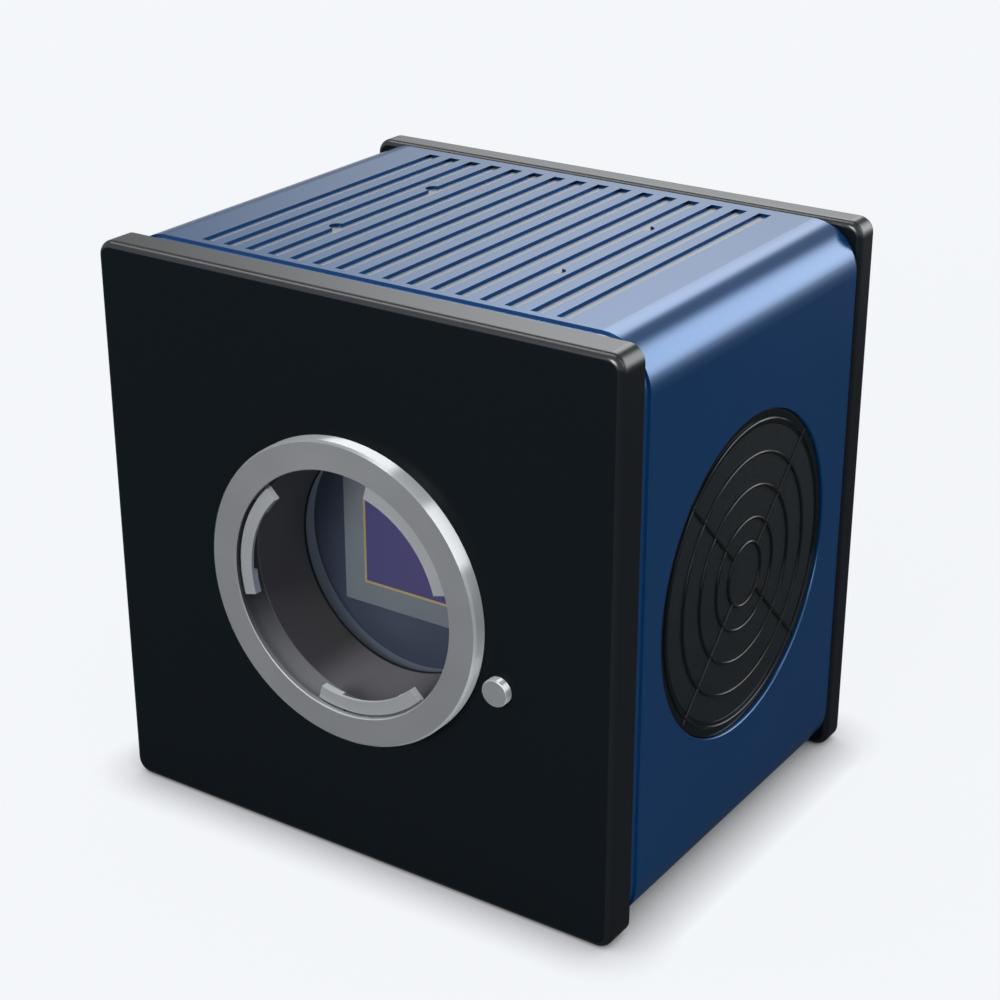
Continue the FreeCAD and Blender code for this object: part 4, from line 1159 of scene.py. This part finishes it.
@dataclass(frozen=True)
class Lamp:
    """A soft rectangular lamp: where it hangs, what it points at, its size and its watts."""

    name: str
    spot: Triple
    aim: Triple
    size: Pair
    power: float

    def build(self) -> None:
        """Hangs the lamp."""
        lamp = bpy.data.lights.new(self.name, "AREA")
        lamp.shape = "RECTANGLE"
        lamp.size, lamp.size_y = self.size
        lamp.energy = self.power
        holder = bpy.data.objects.new(self.name, lamp)
        bpy.context.scene.collection.objects.link(holder)
        holder.location = self.spot
        ray = Vector(self.aim) - Vector(self.spot)
        holder.rotation_euler = ray.to_track_quat("-Z", "Y").to_euler()


@dataclass
class Studio:
    """Pale floor and backdrop, a soft dome, a key lamp, lights to mirror, and the view.

    The view is the photograph's. Two panels stand behind the object, and one strip each is
    beside and over it; only reflections see them.
    """

    backdrop: Colour = (0.908, 0.928, 0.960)
    floor_half: float = 6.0
    floor_down: float = 0.05 * MM
    floor_glow: float = 0.95
    floor_near: float = 0.05
    floor_even: Span = (0.25, 0.7)
    floor_far: Span = (0.5, 1.4)
    floor_behind: Span = (-0.2, 0.3)
    contact: float = 1.0
    contact_reach: float = 10.5 * MM
    dome: float = 0.75
    dome_colour: Colour = (0.97, 0.985, 1.0)
    dim: float = 0.40
    horizon: Span = (-0.05, 0.05)
    front: float = 0.31
    front_turn: Span = (0.1, -0.5)
    left: Panel = Panel(((-0.74, -0.50), (-0.08, -0.28)), ((0.12, 0.54), (0.85, 0.65)), 3.2)
    right: Panel = Panel(((0.14, 0.40), (0.98, 0.80)), ((-0.15, 0.19), (0.72, 0.42)), 3.7)
    beside: Panel = Panel(((0.48, 0.60), (0.985, 0.945)), ((0.12, 0.05),), 3.8)
    over: Panel = Panel(((0.12, 0.0), (-0.76, -0.62)), ((0.20, 0.12),), 3.8)
    over_ahead: float = 0.05
    key: Lamp = Lamp("key", (-0.05, -1.20, 0.50), (0.0, 0.0, 0.05), (0.5, 0.5), 11.0)
    eye: Triple = (0.21275, -0.31342, 0.22443)
    turn: Pair = (66.018, 33.935)
    lens: float = 77.79
    sensor: float = 36.0
    nearest: float = 0.01

    def build(self) -> None:
        """Makes floor, world, lamp and camera."""
        self._floor()
        self._world()
        self.key.build()
        self._camera()

    @staticmethod
    def _seen(recipe: Recipe) -> tuple[Wire, Wire]:
        """Tells rays apart.

        Args:
            recipe: The tree that asks.

        Returns:
            1 for rays from the eye or through glass, and 1 for reflections.
        """
        eye = recipe.add("ShaderNodeLightPath", output="Is Camera Ray")
        outputs = eye.socket.node.outputs
        through = Wire(recipe, outputs["Is Transmission Ray"])
        return (eye + through).clamp(), Wire(recipe, outputs["Is Glossy Ray"])

    def _floor(self) -> None:
        """Lays a wide floor in its finish."""
        mesh = bpy.data.meshes.new("floor")
        half, down = self.floor_half, -self.floor_down
        corners = ((-half, -half), (half, -half), (half, half), (-half, half))
        mesh.from_pydata([(*corner, down) for corner in corners], [], [(0, 1, 2, 3)])
        floor = bpy.data.objects.new("floor", mesh)
        bpy.context.scene.collection.objects.link(floor)
        mesh.materials.append(self._floor_finish())

    def _floor_finish(self) -> bpy.types.Material:
        """A contact shadow on a pale colour, and dim near the object where metal mirrors it."""
        recipe = Recipe.named("floor")
        open_sky = recipe.add("ShaderNodeAmbientOcclusion",
                              inputs={"Distance": self.contact_reach}, output="AO")
        dark = tuple(channel * (1.0 - self.contact) for channel in self.backdrop)
        near = tuple(channel * self.floor_near for channel in self.backdrop)
        tone = recipe.mix(open_sky, dark, self.backdrop)
        across, along, _ = recipe.parts(recipe.place())
        radius = across.reach(along)
        far = recipe.step(radius ** 0.5, *self.floor_far)
        away = far * recipe.step(along, *self.floor_behind)
        even = recipe.step(radius, *self.floor_even) * (1.0 - self.floor_glow) + self.floor_glow
        matt = recipe.add("ShaderNodeBsdfDiffuse", inputs={"Color": tone})
        glow = recipe.add("ShaderNodeEmission", inputs={"Color": tone, "Strength": 1.0})
        mirror = recipe.mix(away, near, self.backdrop)
        dim = recipe.add("ShaderNodeEmission", inputs={"Color": mirror, "Strength": 1.0})
        seen, mirrored = self._seen(recipe)
        pale = recipe.blend(seen * even, matt, glow)
        return recipe.end(recipe.blend(mirrored, pale, dim))

    def _world(self) -> None:
        """Pale to the eye, an even dome for soft light, and panels and strips in reflections."""
        world = bpy.data.worlds.new("studio")
        bpy.context.scene.world = world
        recipe = Recipe(world)
        x, y, z = recipe.parts(recipe.add("ShaderNodeTexCoord", output="Generated"))
        across, tilt = x.bearing(y), x.bearing(z)
        panels = self.left.light(recipe, across, z) + self.right.light(recipe, across, z)
        strips = self.beside.light(recipe, tilt, abs(y))
        strips = strips + self.over.light(recipe, tilt, abs(y + self.over_ahead))
        ahead = recipe.step(y, *self.front_turn) * self.front
        sky = recipe.step(z, *self.horizon) * self.dim
        mirror = (y > 0.0) * panels + (z > 0.0) * strips + ahead + sky
        seen, mirrored = self._seen(recipe)
        power = mirrored * mirror + (1.0 - mirrored) * self.dome
        pale = recipe.add("ShaderNodeBackground",
                          inputs={"Color": (*self.backdrop, 1.0), "Strength": 1.0})
        lit = recipe.add("ShaderNodeBackground",
                         inputs={"Color": (*self.dome_colour, 1.0), "Strength": power})
        recipe.add("ShaderNodeOutputWorld", inputs={"Surface": recipe.blend(seen, lit, pale)})

    def _camera(self) -> None:
        """The camera as solved from the photograph's edges."""
        lens = bpy.data.cameras.new("view")
        lens.lens = self.lens
        lens.sensor_width = self.sensor
        lens.clip_start = self.nearest
        holder = bpy.data.objects.new("view", lens)
        bpy.context.scene.collection.objects.link(holder)
        holder.location = self.eye
        holder.rotation_euler = (math.radians(self.turn[0]), 0.0, math.radians(self.turn[1]))
        bpy.context.scene.camera = holder


def main() -> None:
    """Loads the frame, dresses it and lights it."""
    logging.basicConfig(level=logging.INFO, format="%(name)s: %(message)s")
    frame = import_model()
    bpy.context.scene.view_settings.view_transform = "Standard"
    shelf = Shelf()
    groups: list[SubAssembly] = [kind(frame, shelf) for kind in (
        FrontPlate, LensMount, ReleaseButton, SensorBlock, Electronics, Housing, Fan, Vent,
        TripodMount, BackPanel, PowerButton)]
    groups.append(Vent(frame, shelf, side=Side.LEFT, guard="outlet_guard", pad="outlet_filter"))
    for group in groups:
        group.build()
    Studio().build()


if __name__ == "__main__":
    main()
